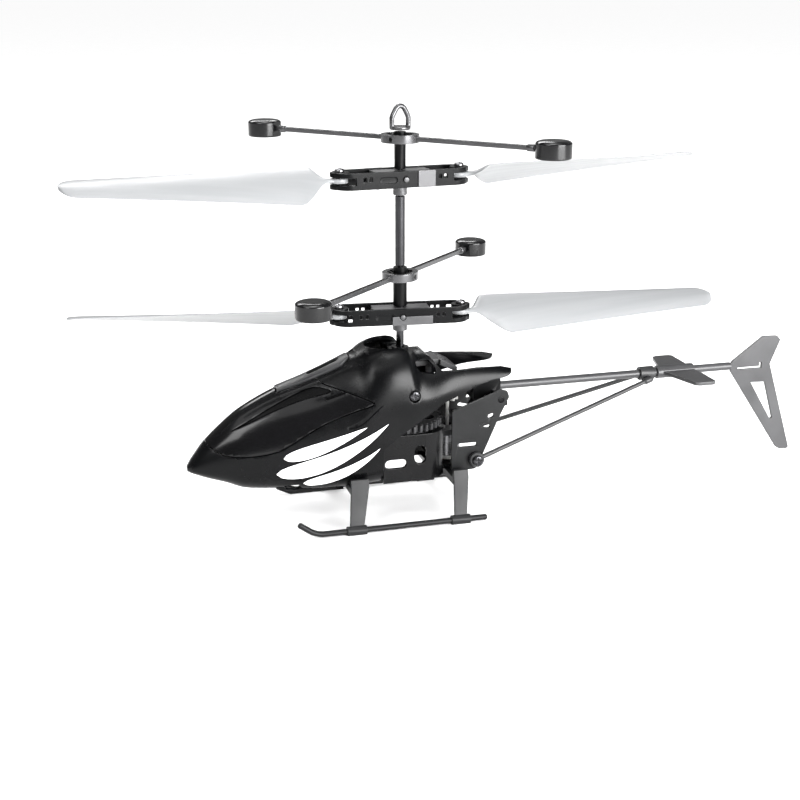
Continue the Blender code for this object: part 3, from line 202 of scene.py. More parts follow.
def plate(outline, low, high, plane="XZ", holes=()):
    """Flat plate cut to an outline, with holes; low and high are across the plane."""
    def place(a, b, c):
        return {"XZ": (a, c, b), "YZ": (c, a, b), "XY": (a, b, c)}[plane]
    bm = bmesh.new()
    edges = []
    for outline_loop in (outline,) + tuple(holes):
        verts = [bm.verts.new(place(a, b, low)) for a, b in outline_loop]
        edges += [bm.edges.new((verts[i - 1], verts[i])) for i in range(len(verts))]
    bmesh.ops.triangle_fill(bm, use_beauty=True, edges=edges)
    made = bmesh.ops.extrude_face_region(bm, geom=list(bm.faces))
    lifted = [v for v in made["geom"] if isinstance(v, bmesh.types.BMVert)]
    bmesh.ops.translate(bm, verts=lifted, vec=Vector(place(0, 0, high)) - Vector(place(0, 0, low)))
    return from_bmesh(bm)


def applied(obj):
    """Replace an object's mesh by what its modifiers make of it."""
    bpy.context.view_layer.update()
    graph = bpy.context.evaluated_depsgraph_get()
    result = bpy.data.meshes.new_from_object(obj.evaluated_get(graph))
    obj.modifiers.clear()
    obj.data = result
    return obj


def combine(target, tool, operation="DIFFERENCE"):
    """Cut, join or intersect target with tool and throw the tool away."""
    modifier = target.modifiers.new("combine", "BOOLEAN")
    modifier.solver = "EXACT"
    modifier.operation = operation
    modifier.object = tool
    applied(target)
    bpy.data.objects.remove(tool)
    return target


def cut(target, *tools):
    """Take every tool away from target."""
    for tool in tools:
        combine(target, tool)
    return target


def join(target, *tools):
    """Fuse every tool into target."""
    for tool in tools:
        combine(target, tool, "UNION")
    return target


def moved(obj, matrix):
    """Move the mesh of an object."""
    obj.data.transform(matrix)
    if matrix.determinant() < 0:
        obj.data.flip_normals()
    return obj


def smoothed(obj, edge=0.0, sharp=35.0):
    """Weld a piece, round its sharp edges a little and shade it smooth."""
    bm = bmesh.new()
    bm.from_mesh(obj.data)
    bmesh.ops.remove_doubles(bm, verts=bm.verts, dist=2e-6)
    bmesh.ops.dissolve_degenerate(bm, edges=bm.edges, dist=2e-6)
    bm.to_mesh(obj.data)
    bm.free()
    if edge:
        bevel = obj.modifiers.new("edge", "BEVEL")
        bevel.width = edge
        bevel.segments = 2
        bevel.limit_method = "ANGLE"
        bevel.angle_limit = math.radians(sharp)
        bevel.use_clamp_overlap = False
        bevel.miter_outer = "MITER_ARC"
        applied(obj)
    obj.data.shade_smooth()
    obj.data.set_sharp_from_angle(angle=math.radians(sharp))
    even = obj.modifiers.new("even", "WEIGHTED_NORMAL")
    even.keep_sharp = True
    return applied(obj)


def extra(piece, name, material, node):
    """Name an added piece that rides with a CAD node and gets its material or materials."""
    piece.name = name
    piece.data.name = name
    piece.data.materials.clear()
    for one in material if isinstance(material, tuple) else (material,):
        piece.data.materials.append(one)
    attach(piece, NODE_BODY[node])
    return piece


def stand_in(piece, material, node):
    """A piece that rides with a CAD node and is shown in its place."""
    extra(piece, node + "_fine", material, node)
    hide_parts(node)
    return piece


def refined(node, material, edge=0.00012):
    """A copy of a CAD node with welded faces and rounded edges, standing for that node."""
    source = frame["nodes"][node].data
    bm = bmesh.new()
    verts = [bm.verts.new(v.co) for v in source.vertices]
    for polygon in source.polygons:
        bm.faces.new([verts[i] for i in polygon.vertices])
    return stand_in(smoothed(from_bmesh(bm), edge), material, node)


# ---- materials ----
class Look:
    """A Principled material that is being wired up."""

    def __init__(self, name, colour, roughness, metallic=0.0, specular=0.5):
        self.material = bpy.data.materials.new(name)
        self.material.use_nodes = True
        self.tree = self.material.node_tree
        self.shader = self.tree.nodes["Principled BSDF"]
        self.set("Base Color", (*colour, 1.0))
        self.set("Roughness", roughness)
        self.set("Metallic", metallic)
        self.set("Specular IOR Level", specular)
        self.place = self.tree.nodes.new("ShaderNodeTexCoord").outputs["Object"]

    def set(self, socket, value):
        self.shader.inputs[socket].default_value = value

    def node(self, kind, links=(), **values):
        """Add a node; links maps input sockets to other nodes' outputs."""
        made = self.tree.nodes.new(kind)
        for key, value in values.items():
            setattr(made, key, value)
        for socket, source in links:
            if isinstance(source, (int, float, tuple)):
                made.inputs[socket].default_value = source
            else:
                self.tree.links.new(source, made.inputs[socket])
        return made

    def noise(self, scale, detail=3.0, stretch=(1, 1, 1), turn=0.0, distortion=0.0):
        """Noise of a given scale per metre, which can be stretched along a turned direction."""
        mapping = self.node("ShaderNodeMapping", (("Vector", self.place), ("Scale", tuple(stretch)),
                                                  ("Rotation", (0.0, 0.0, turn))))
        links = (("Vector", mapping.outputs["Vector"]), ("Scale", float(scale)), ("Detail", detail),
                 ("Distortion", distortion))
        return self.node("ShaderNodeTexNoise", links).outputs["Fac"]

    def ramp(self, source, low, high, start=0.3, end=0.7):
        """Map a value from start..end to low..high."""
        links = (("Value", source), ("From Min", start), ("From Max", end), ("To Min", low), ("To Max", high))
        return self.node("ShaderNodeMapRange", links).outputs["Result"]

    def blend(self, factor, first, second):
        """Mix two colours by a factor."""
        made = self.node("ShaderNodeMix", data_type="RGBA")
        for socket, source in ((0, factor), (6, first), (7, second)):
            if isinstance(source, tuple):
                made.inputs[socket].default_value = (*source, 1.0)
            else:
                self.tree.links.new(source, made.inputs[socket])
        return made.outputs[2]

    def multiply(self, first, second):
        """Product of two values."""
        return self.node("ShaderNodeMath", ((0, first), (1, second)), operation="MULTIPLY").outputs[0]

    def worn_and_lit_edges(self):
        """1 along convex and concave edges, 0 on the open surface: the mask for edges lightened partly as wear and
        partly as painted highlight.
        """
        rounded = self.node("ShaderNodeBevel", (("Radius", 0.0003),), samples=4).outputs["Normal"]
        plain = self.node("ShaderNodeNewGeometry").outputs["Normal"]
        dot = self.node("ShaderNodeVectorMath", ((0, rounded), (1, plain)), operation="DOT_PRODUCT")
        return self.ramp(dot.outputs["Value"], 1.0, 0.0, 0.80, 0.99)

    def connect(self, socket, source):
        self.tree.links.new(source, self.shader.inputs[socket])

    def bump(self, source, depth, strength):
        """Surface relief of a given depth in metres."""
        links = [("Height", source), ("Distance", depth), ("Strength", strength)]
        if self.shader.inputs["Normal"].is_linked:
            links.append(("Normal", self.shader.inputs["Normal"].links[0].from_socket))
        self.connect("Normal", self.node("ShaderNodeBump", links).outputs["Normal"])


def moulded(name, colour, roughness, metallic=0.0, specular=0.5, grain=5200.0, depth=0.00001, wear_and_highlight=1.8):
    """Moulded or painted part: fine grain, cloudy gloss, slight tone changes, and lighter edges that are partly
    wear and partly painted highlight.
    """
    look = Look(name, colour, roughness, metallic, specular)
    cloud = look.noise(85.0, 4.0)
    fine = look.noise(grain, 2.0)
    lighter = tuple(min(1.0, c * 1.22) for c in colour)
    darker = tuple(c * 0.84 for c in colour)
    tone = look.blend(look.ramp(cloud, 0.0, 1.0), darker, lighter)
    # Edge colour: lighter along rims and seams, partly as wear and partly as a painted highlight.
    worn_and_lit_edge_tone = tuple(min(1.0, c * wear_and_highlight + 0.005) for c in colour)
    edges = look.multiply(look.worn_and_lit_edges(), look.ramp(look.noise(900.0), 0.25, 1.0))
    look.connect("Base Color", look.blend(edges, tone, worn_and_lit_edge_tone))
    look.connect("Roughness", look.ramp(cloud, roughness * 0.82, min(1.0, roughness * 1.22)))
    look.bump(look.noise(260.0, 2.0), depth * 1.6, 0.5)
    look.bump(fine, depth, 0.6)
    return look.material


def turned_steel(name, colour, roughness):
    """Drawn or turned metal with very fine rings across its length."""
    look = Look(name, colour, roughness, 1.0)
    rings = look.noise(900.0, 3.0, (0.1, 0.1, 14.0))
    stains = look.noise(160.0, 3.0)
    look.connect("Base Color", look.blend(look.ramp(stains, 0.0, 1.0), tuple(c * 0.8 for c in colour),
                                          tuple(min(1.0, c * 1.15) for c in colour)))
    look.connect("Roughness", look.ramp(rings, roughness * 0.85, roughness * 1.2))
    look.bump(rings, 0.000002, 0.4)
    return look.material


def blade_plastic(name, turn):
    """Milky flexible plastic with flow lines along the blade."""
    look = Look(name, (0.205, 0.21, 0.215), 0.34, 0.0, 0.4)
    look.set("Transmission Weight", 0.10)
    look.set("IOR", 1.46)
    flow = look.ramp(look.noise(70.0, 4.0, (0.35, 5.0, 1.0), -turn, 0.4), 0.0, 1.0, 0.35, 0.65)
    streaks = look.noise(420.0, 3.0, (0.08, 2.2, 1.0), -turn)
    look.connect("Base Color", look.blend(flow, (0.195, 0.20, 0.205), (0.215, 0.22, 0.225)))
    look.connect("Roughness", look.ramp(streaks, 0.30, 0.40))
    look.bump(streaks, 0.00001, 0.5)
    look.bump(look.noise(3000.0, 2.0), 0.000006, 0.4)
    return look.material


def window_plastic(name, colour, roughness, specular, coat):
    """Polished black plastic with faint moulding waves and a few fine scratches."""
    look = Look(name, colour, roughness, 0.0, specular)
    look.set("Coat Weight", coat)
    look.set("Coat Roughness", 0.06)
    scratches = look.noise(500.0, 2.0, (1.0, 0.15, 3.0), 0.5, 1.5)
    look.connect("Roughness", look.ramp(scratches, roughness, roughness * 1.5, 0.55, 0.8))
    look.connect("Base Color", look.blend(look.ramp(look.noise(120.0), 0.0, 1.0), colour,
                                          tuple(c * 1.6 for c in colour)))
    look.bump(look.noise(140.0, 2.0), 0.00002, 0.25)
    return look.material


def circuit_plastic(name):
    """Green lacquered board with paler copper tracks under the lacquer."""
    look = Look(name, (0.015, 0.10, 0.045), 0.35)
    black, white = (0.0, 0.0, 0.0, 1.0), (1.0, 1.0, 1.0, 1.0)
    links = (("Vector", look.place), ("Scale", 420.0), ("Color1", black), ("Color2", black),
             ("Mortar", white))
    tracks = look.node("ShaderNodeTexBrick", links).outputs["Fac"]
    look.connect("Base Color", look.blend(tracks, (0.012, 0.085, 0.036), (0.04, 0.20, 0.08)))
    look.bump(tracks, 0.00003, 0.5)
    return look.material


def printed_white(name):
    """White print film with a slightly uneven ink surface."""
    look = Look(name, (0.86, 0.86, 0.86), 0.38)
    ink = look.noise(700.0, 3.0)
    look.connect("Base Color", look.blend(look.ramp(ink, 0.0, 1.0), (0.78, 0.78, 0.78), (0.88, 0.88, 0.88)))
    look.bump(ink, 0.00001, 0.4)
    return look.material


def floor_paper(name):
    """Plain pale studio floor."""
    look = Look(name, (0.94, 0.94, 0.94), 0.9, 0.0, 0.1)
    look.connect("Base Color", look.blend(look.ramp(look.noise(40.0), 0.0, 1.0), (0.93, 0.93, 0.93),
                                          (0.95, 0.95, 0.95)))
    return look.material


# ---- fuselage ----
def between(x, column):
    """Value of one column of the station table at x, smoothly between the stations."""
    rows = STATIONS
    if x <= rows[0][0]:
        return rows[0][column]
    for i in range(len(rows) - 1):
        if x <= rows[i + 1][0]:
            break
    first, second = rows[i], rows[i + 1]
    before, after = rows[max(i - 1, 0)], rows[min(i + 2, len(rows) - 1)]
    span = second[0] - first[0]
    t = (x - first[0]) / span
    slope_in = (second[column] - before[column]) / (second[0] - before[0]) * span
    slope_out = (after[column] - first[column]) / (after[0] - first[0]) * span
    return ((2 * t ** 3 - 3 * t ** 2 + 1) * first[column] + (t ** 3 - 2 * t ** 2 + t) * slope_in
            + (3 * t ** 2 - 2 * t ** 3) * second[column] + (t ** 3 - t ** 2) * slope_out)


def chamfer_line(x):
    """Height of the crease that runs up the flank towards the rear prong."""
    return 0.0322 + (x + 0.0120) * 0.155


def skin_section(x, inset):
    """One fine cross section of the fuselage, drawn inset from the outer skin."""
    points = 104
    crown, belly, half_width, widest, upper, lower = (between(x, column) for column in range(1, 7))
    half_width -= inset
    ring = []
    for k in range(points):
        angle = 2 * math.pi * (k + 0.5) / points
        c, s = math.cos(angle), math.sin(angle)
        power = upper if s > 0 else lower
        height = (crown - widest - inset) if s > 0 else (widest - belly - inset)
        y = half_width * math.copysign(abs(c) ** (2 / power), c)
        z = widest + height * math.copysign(abs(s) ** (2 / power), s)
        crease = chamfer_line(x)
        if inset < WALL / 2 and x > -0.0120 and z < crease:
            depth = min(1.0, (x + 0.0120) / 0.0080) * 0.22 * min(crease - z, 0.0035)
            y -= math.copysign(depth, y)
        ring.append((x, y, z))
    return ring


def skin_solid(inset, start, end, steps=150):
    """Closed body filling the fuselage skin between two stations."""
    xs = [start + (end - start) * (i / steps) ** 1.12 for i in range(steps + 1)]
    return loft([skin_section(x, inset) for x in xs])


def skin_shell(outer=0.0, wall=WALL):
    """Hollow fuselage skin."""
    return cut(skin_solid(outer, -0.0598 + outer, 0.0302), skin_solid(outer + wall, *HOLLOW))


def grown(outline, distance):
    """Outline pushed outwards by a distance."""
    area = sum(a[0] * b[1] - b[0] * a[1] for a, b in zip(outline, outline[1:] + outline[:1]))
    sign = 1 if area > 0 else -1
    points = []
    for i in range(len(outline)):
        before, here, after = (Vector(outline[k % len(outline)]) for k in (i - 1, i, i + 1))
        first, second = (here - before).normalized(), (after - here).normalized()
        normal = Vector((first.y + second.y, -first.x - second.x)).normalized() * sign
        spread = max(0.5, normal.dot(Vector((first.y, -first.x)) * sign))
        points.append(tuple(here + normal * distance / spread))
    return points


def rounded_outline(outline, fixed):
    """Outline with its corners cut twice, so that bends turn into curves; fixed corners stay."""
    points = [Vector(p) for p in outline]
    keep = {tuple(outline[i]) for i in fixed}
    for _ in range(2):
        fresh = []
        for i, here in enumerate(points):
            before, after = points[i - 1], points[(i + 1) % len(points)]
            if tuple(here) in keep or (before - here).length > 0.012 or (after - here).length > 0.012:
                fresh.append(here)
            else:
                fresh += [here.lerp(before, 0.25), here.lerp(after, 0.25)]
        points = fresh
    return [tuple(p) for p in points]


def cowl_outline(back):
    """Plan of the opening ahead of the mast: round in front, square at the back."""
    half = 0.0070
    segments = 28
    points = [(-0.0032 - half * math.sin(t), half * math.cos(t))
              for t in (math.pi * k / segments for k in range(segments + 1))]
    return [(back, half)] + points + [(back, -half)]


def windshield_outline(grow):
    """Side view of the nose and window moulding, pushed outwards by a distance."""
    return grown(rounded_outline(WINDSHIELD, (0, 1, 10, 14)), grow)


def crown_slot(grow):
    """Plan of the raised panel along the crown."""
    half = 0.0030 + grow
    return [(-0.0352 - grow, -half * 0.8), (-0.0175 + grow, -half * 1.25),
            (-0.0150 + grow, -half * 0.8), (-0.0150 + grow, half * 0.8),
            (-0.0175 + grow, half * 1.25), (-0.0352 - grow, half * 0.8)]


def slot_outline(a, b, length, width, segments=10):
    """Slot with round ends round a point; length is over the ends."""
    half = (length - width) / 2
    points = []
    for sign in (1, -1):
        for k in range(segments + 1):
            t = -math.pi / 2 + math.pi * k / segments
            points.append((a + sign * (half + width / 2 * math.cos(t)), b + sign * width / 2 * math.sin(t)))
    return points


def pocket(outline, depth, plane="XZ"):
    """Tool for a shallow recess of even depth in the skin, on both sides of the fuselage."""
    low, high = THROUGH if plane == "XZ" else ABOVE
    return cut(plate(outline, low, high, plane), skin_solid(depth, -0.0590, 0.0330, 120))


def crown_rail(side):
    """Plan of the low ridge beside the crown panel."""
    return [(-0.0345, side * 0.0033), (-0.0345, side * 0.0042), (-0.0180, side * 0.0051),
            (-0.0150, side * 0.0056), (-0.0165, side * 0.0046), (-0.0175, side * 0.0042)]


def detailed_skin():
    """Fuselage skin with its ridges and recesses, before it is divided into mouldings."""
    shell = skin_shell()
    for side in (-1, 1):
        ridge = skin_shell(-0.00030, 0.0009)
        combine(ridge, plate(crown_rail(side), *ABOVE, "XY"), "INTERSECT")
        join(shell, ridge)
    cut(shell,
        pocket(rounded_outline(SIDE_WINDOW, (0, 5, 6, 7)), 0.00045),
        pocket(LOWER_SLOT, 0.00035),
        pocket(rounded_outline(SEAM_SCOOP, (0, 2)), 0.00040),
        pocket(COWL_PATCH, 0.00035, "XY"))
    return shell


def canopy_body(shell, material):
    """Outer moulding: nose, keel, flanks with the two rear prongs, crown and mast cowl."""
    join(shell, plate(PLATFORM_OUTLINE, PLATFORM - 0.0012, PLATFORM + 0.0003, "XY"))
    cut(shell,
        plate(windshield_outline(GAP / 2), *THROUGH),
        plate(rounded_outline(REAR_CUT, (0, 1, 8, 9, 10)), *THROUGH),
        plate(TOP_REAR, *THROUGH),
        plate(cowl_outline(-0.0027), 0.0380, 0.0600, "XY"),
        plate(cowl_outline(0.0060), PLATFORM, 0.0600, "XY"),
        plate(crown_slot(GAP / 2), 0.0380, 0.0600, "XY"),
        block((0.0095, -0.0076, 0.0300), (0.0400, 0.0076, 0.0600)),
        block((-0.0178, -0.0140, 0.0050), (-0.0122, 0.0140, 0.0120)))
    keel = plate(KEEL_OUTLINE, -KEEL_HALF_WIDTH, KEEL_HALF_WIDTH)
    join(shell, cut(keel, skin_solid(WALL, *HOLLOW)))
    cut(shell,
        plate(KEEL_WINDOW, -0.0120, 0.0120),
        block((-0.0340, -0.0060, 0.0080), (-0.0290, 0.0060, 0.0118)),
        block((-0.0267, -0.0009, 0.0070), (-0.0227, 0.0009, 0.0112)),
        rod((0, 0, 0.0400), (0, 0, 0.0500), 0.0019))
    x, z = CANOPY_SCREW
    for side in (-1, 1):
        inner, outer = sorted((side * 0.0055, side * 0.0150))
        cut(shell,
            plate(FLANK_NOTCH, inner, outer),
            rod((x, side * 0.0200, z), (x, side * 0.0040, z), 0.0009),
            rod((x, side * 0.0200, z), (x, side * 0.0122, z), 0.0017))
    moved(smoothed(shell, 0.00010, sharp=32), TO_FRAME)
    return stand_in(shell, material, "canopy_body")


def inside(outline, a, b):
    """True if a point lies inside an outline."""
    crossings = 0
    for i in range(len(outline)):
        (a0, b0), (a1, b1) = outline[i - 1], outline[i]
        if (b0 > b) != (b1 > b) and a < (a1 - a0) * (b - b0) / (b1 - b0) + a0:
            crossings += 1
    return crossings % 2 == 1


def windshield(shell, materials):
    """Nose and side window moulding; the recessed side windows are polished."""
    combine(shell, plate(windshield_outline(-GAP / 2), *THROUGH), "INTERSECT")
    cut(shell, plate(crown_slot(GAP / 2), *ABOVE, "XY"))
    smoothed(shell, 0.00010, sharp=32)
    stand_in(moved(shell, TO_FRAME), materials, "windshield")
    for polygon in shell.data.polygons:
        x, _, z = polygon.center
        if inside(SIDE_WINDOW, x - OFFSET, z) or inside(LOWER_SLOT, x - OFFSET, z):
            polygon.material_index = 1
    return shell


def crown_panel(material):
    """Raised strip along the crown with its long vent."""
    strip = skin_shell(outer=-0.0004, wall=0.0014)
    combine(strip, plate(crown_slot(-GAP / 2), *ABOVE, "XY"), "INTERSECT")
    cut(strip, plate(slot_outline(-0.0220, 0.0, 0.0090, 0.0022), *ABOVE, "XY"))
    smoothed(strip, 0.00010)
    return stand_in(moved(strip, TO_FRAME), material, "crown_panel")


def swoosh(start, bend, end, width):
    """Tapered curved stripe outline."""
    segments = 22
    left, right = [], []
    for k in range(segments + 1):
        t = k / segments
        x, z = ((1 - t) ** 2 * a + 2 * t * (1 - t) * b + t * t * c for a, b, c in zip(start, bend, end))
        dx, dz = (2 * (1 - t) * (b - a) + 2 * t * (c - b) for a, b, c in zip(start, bend, end))
        length = math.hypot(dx, dz)
        half = width / 2 * math.sin(math.pi * t ** 0.62) ** 0.85
        left.append((x - dz / length * half, z + dx / length * half))
        right.append((x + dz / length * half, z - dx / length * half))
    return left + right[-2:0:-1]


def flank_graphic(name, side, material):
    """Plain white speed stripes printed on the flank."""
    stripes = (swoosh((-0.0372, 0.0168), (-0.0225, 0.0172), (-0.0068, 0.0292), 0.0046),
               swoosh((-0.0352, 0.0212), (-0.0250, 0.0228), (-0.0128, 0.0288), 0.0034),
               swoosh((-0.0300, 0.0136), (-0.0190, 0.0142), (-0.0092, 0.0226), 0.0030))
    film = cut(skin_solid(-0.00007, -0.0400, -0.0040, 90), skin_solid(-0.00001, -0.0410, -0.0030, 90))
    shape = None
    for stripe in stripes:
        one = plate(stripe, *sorted((side * 0.0010, side * 0.0300)))
        shape = one if shape is None else join(shape, one)
    combine(film, shape, "INTERSECT")
    moved(smoothed(film), TO_FRAME)
    return extra(film, name, material, "canopy_body")


# ---- rotor heads ----
JOINTS = {joint["name"]: joint for joint in frame["joints"]}
BLADE_PIN_RADIUS = 0.0168
HUB_HALF_LENGTH = 0.0188
HUB_HALF_WIDTH = 0.0046
HUB_WALL = 0.0010
HUB_HALF_HEIGHT = 0.0022
ROTOR_RADIUS = 0.0886
ROOT_CHORD = 0.0170
TIP_CHORD = 0.0105
BLADE_RISE = 0.030
ROOT_PITCH = math.radians(28.0)
TIP_PITCH = math.radians(15.0)
BLADE_THICKNESS = 0.0009
BLADE_NECK = 0.0014
FLYBAR_RADIUS = 0.0447
WEIGHT_RADIUS = 0.0046
WEIGHT_HALF_HEIGHT = 0.0023


def blade_turn(prefix):
    """Direction of a rotor's blade a, from the place of its fold joint."""
    x, y, _ = JOINTS[prefix + "_blade_a_fold"]["pos_m"]
    return math.atan2(y, x - OFFSET)


def flybar_turn(prefix):
    """Direction of a flybar, square to its tilt axis."""
    x, y, _ = JOINTS[prefix + "_flybar_tilt"]["axis"]
    return math.atan2(-x, y)


def placed(prefix, joint, turn):
    """Matrix from a piece drawn along +X at the origin to its place on the mast."""
    level = JOINTS[prefix + joint]["pos_m"][2]
    return Matrix.Translation((OFFSET, 0, level)) @ Matrix.Rotation(turn, 4, "Z")


def stadium(half_length, half_width):
    """Long oval outline."""
    return slot_outline(0.0, 0.0, 2 * half_length, 2 * half_width, segments=20)


def hub_frame(prefix, material):
    """Long oval hub frame with a fork, windows and ribs at each end."""
    half = HUB_HALF_HEIGHT
    inner = stadium(HUB_HALF_LENGTH - HUB_WALL, HUB_HALF_WIDTH - HUB_WALL)
    body = plate(stadium(HUB_HALF_LENGTH, HUB_HALF_WIDTH), -half, half, "XY", [inner])
    for sign in (-1, 1):
        pin = sign * BLADE_PIN_RADIUS
        arm = plate(stadium(0.0026, 0.0022), -half, half, "XY")
        join(body, moved(arm, Matrix.Translation((pin, 0, 0))))
        x0, x1 = sorted((sign * 0.0136, sign * 0.0240))
        cut(body,
            block((x0, -0.0050, -0.0010), (x1, 0.0050, 0.0010)),
            rod((pin, 0, -0.0030), (pin, 0, 0.0030), 0.00072))
        for near, far in ((0.0092, 0.0101), (0.0108, 0.0117)):
            x0, x1 = sorted((sign * near, sign * far))
            cut(body, block((x0, -0.0060, -0.0002), (x1, 0.0060, 0.0010)))
        y0, y1 = sorted((sign * (HUB_HALF_WIDTH - 0.0003), sign * (HUB_HALF_WIDTH + 0.0010)))
        cut(body, plate(slot_outline(sign * 0.0048, 0.0, 0.0050, 0.0016), y0, y1))
    cut(body, rod((0, -0.0060, 0), (0, 0.0060, 0), 0.00078))
    smoothed(body, 0.00014)
    moved(body, placed(prefix, "_hub_teeter", blade_turn(prefix)))
    return stand_in(body, material, prefix + "_hub_frame")


def hub_trim(prefix, metal, steel):
    """Bright plate on each flank of a hub frame and two small screws under the core."""
    place = placed(prefix, "_hub_teeter", blade_turn(prefix))
    start = 0.0034 if prefix == "upper" else -0.0028
    top = HUB_HALF_HEIGHT if prefix == "upper" else 0.0002
    for letter, sign in (("a", -1), ("b", 1)):
        x0, x1 = sorted((-sign * start, -sign * 0.0082))
        y0, y1 = sorted((sign * (HUB_HALF_WIDTH + 0.00002), sign * (HUB_HALF_WIDTH + 0.0004)))
        tab = block((x0, y0, -HUB_HALF_HEIGHT), (x1, y1, top))
        cut(tab, rod((0, -0.0060, 0), (0, 0.0060, 0), 0.0009))
        moved(smoothed(tab, 0.0001), place)
        extra(tab, prefix + "_hub_tab_" + letter, metal, prefix + "_hub_frame")
        head = turned([(0.0007, -0.0029), (0.0010, -0.0026), (0.0010, -0.0021), (0.0008, -0.00205)])
        moved(smoothed(head, 0.00004), place @ Matrix.Translation((sign * 0.0064, 0, 0)))
        extra(head, prefix + "_hub_screw_" + letter, steel, prefix + "_hub_core")


def eased(value):
    """Smooth step from 0 to 1."""
    value = min(1.0, max(0.0, value))
    return value * value * (3 - 2 * value)


def blade_section(r, lead_side):
    """Closed airfoil-like section of a blade at distance r from the mast, drawn along +X."""
    across_steps = 16
    reach = r - BLADE_PIN_RADIUS
    along = min(1.0, max(0.0, (r - 0.0300) / (ROTOR_RADIUS - 0.0300)))
    chord = ROOT_CHORD + (TIP_CHORD - ROOT_CHORD) * along
    lead = BLADE_NECK + (0.38 * chord - BLADE_NECK) * eased((reach - 0.0026) / 0.0040)
    trail = BLADE_NECK + (0.62 * chord - BLADE_NECK) * eased((reach - 0.0030) / 0.0100)
    rounding = math.sqrt(1 - 0.93 * max(0.0, (0.0040 - (ROTOR_RADIUS - r)) / 0.0040) ** 2)
    lead *= rounding
    trail *= rounding
    pitch = (ROOT_PITCH + (TIP_PITCH - ROOT_PITCH) * along) * eased((reach - 0.0022) / 0.0050)
    thickness = BLADE_NECK + (BLADE_THICKNESS - BLADE_NECK) * eased((reach - 0.0030) / 0.0030)
    rise = BLADE_RISE * max(0.0, reach - 0.0030)
    points = []
    for top in (True, False):
        for k in range(across_steps):
            u = (k + 0.5) / across_steps if top else 1 - (k + 0.5) / across_steps
            arch = 4 * u * (1 - u)
            rounded = (1 - abs(2 * u - 1) ** 6) ** 0.5
            height = 0.05 * (lead + trail - 2 * BLADE_NECK) * arch
            height += (0.5 if top else -0.5) * thickness * (0.30 + 0.70 * arch) * rounded
            y = lead - u * (lead + trail)
            points.append((r, lead_side * (y * math.cos(pitch) - height * math.sin(pitch)),
                           y * math.sin(pitch) + height * math.cos(pitch) + rise))
    return points


def blade(prefix, letter, lead_side, material):
    """One rotor blade with its round root eye."""
    stations = [BLADE_PIN_RADIUS + 0.0012 + 0.0118 * k / 16 for k in range(17)]
    stations += [0.0298 + (ROTOR_RADIUS - 0.0042 - 0.0298) * k / 24 for k in range(1, 25)]
    stations += [ROTOR_RADIUS - 0.0042 * math.cos(math.pi / 2 * k / 10) for k in range(1, 11)]
    wing = loft([blade_section(r, lead_side) for r in stations])
    eye = turned([(0.0020, -0.0007), (0.0022, -0.0005), (0.0022, 0.0005), (0.0020, 0.0007)])
    join(wing, moved(eye, Matrix.Translation((BLADE_PIN_RADIUS, 0, 0))))
    cut(wing, rod((BLADE_PIN_RADIUS, 0, -0.0030), (BLADE_PIN_RADIUS, 0, 0.0030), 0.0008))
    smoothed(wing, sharp=60)
    turn = blade_turn(prefix) + (math.pi if letter == "b" else 0.0)
    moved(wing, placed(prefix, "_blade_a_fold", turn))
    return stand_in(wing, material, prefix + "_blade_" + letter)


def pan_screw(node, place, material, radius, shank, length, head):
    """Cross-head screw drawn along +Z with its head seat at the origin; head is its height."""
    dome = [(radius, 0.0), (radius, head * 0.35), (radius * 0.93, head * 0.68), (radius * 0.72, head * 0.9),
            (radius * 0.40, head)]
    body = turned([(shank * 0.7, -length), (shank, -length + shank * 0.5), (shank, 0.0)] + dome, segments=48)
    for turn in (0.0, math.pi / 2):
        tool = block((-radius * 0.62, -radius * 0.13, head * 0.45), (radius * 0.62, radius * 0.13, head * 2))
        cut(body, moved(tool, Matrix.Rotation(turn, 4, "Z")))
    smoothed(body, 0.00004)
    return stand_in(moved(body, place), material, node)


def flybar(prefix, material):
    """Stabiliser bar: eye round the mast, two rounded ribs to each side, and a stem per weight."""
    eye = plate(stadium(0.0052, 0.0047), -0.0011, 0.0011, "XY", [stadium(0.0037, 0.0032)])
    end = FLYBAR_RADIUS - WEIGHT_RADIUS - 0.0004
    for sign in (-1, 1):
        x0, x1 = sorted((sign * 0.0042, sign * (end - 0.0003)))
        join(eye, block((x0, -0.00075, -0.0006), (x1, 0.00075, 0.0006)))
        for face in (-1, 1):
            x0, x1 = sorted((sign * 0.0060, sign * (end - 0.0026)))
            z0, z1 = sorted((face * 0.00028, face * 0.0012))
            cut(eye, block((x0, -0.00026, z0), (x1, 0.00026, z1)))
        join(eye, rod((sign * (end - 0.0022), 0, 0), (sign * end, 0, 0), 0.00095, 0.0002),
             rod((sign * 0.0370, 0, 0), (sign * (FLYBAR_RADIUS + 0.0010), 0, 0), 0.0005))
    cut(eye, rod((0, -0.0070, 0), (0, 0.0070, 0), 0.00056))
    smoothed(eye, 0.00010)
    moved(eye, placed(prefix, "_flybar_tilt", flybar_turn(prefix)))
    return stand_in(eye, material, prefix + "_flybar")


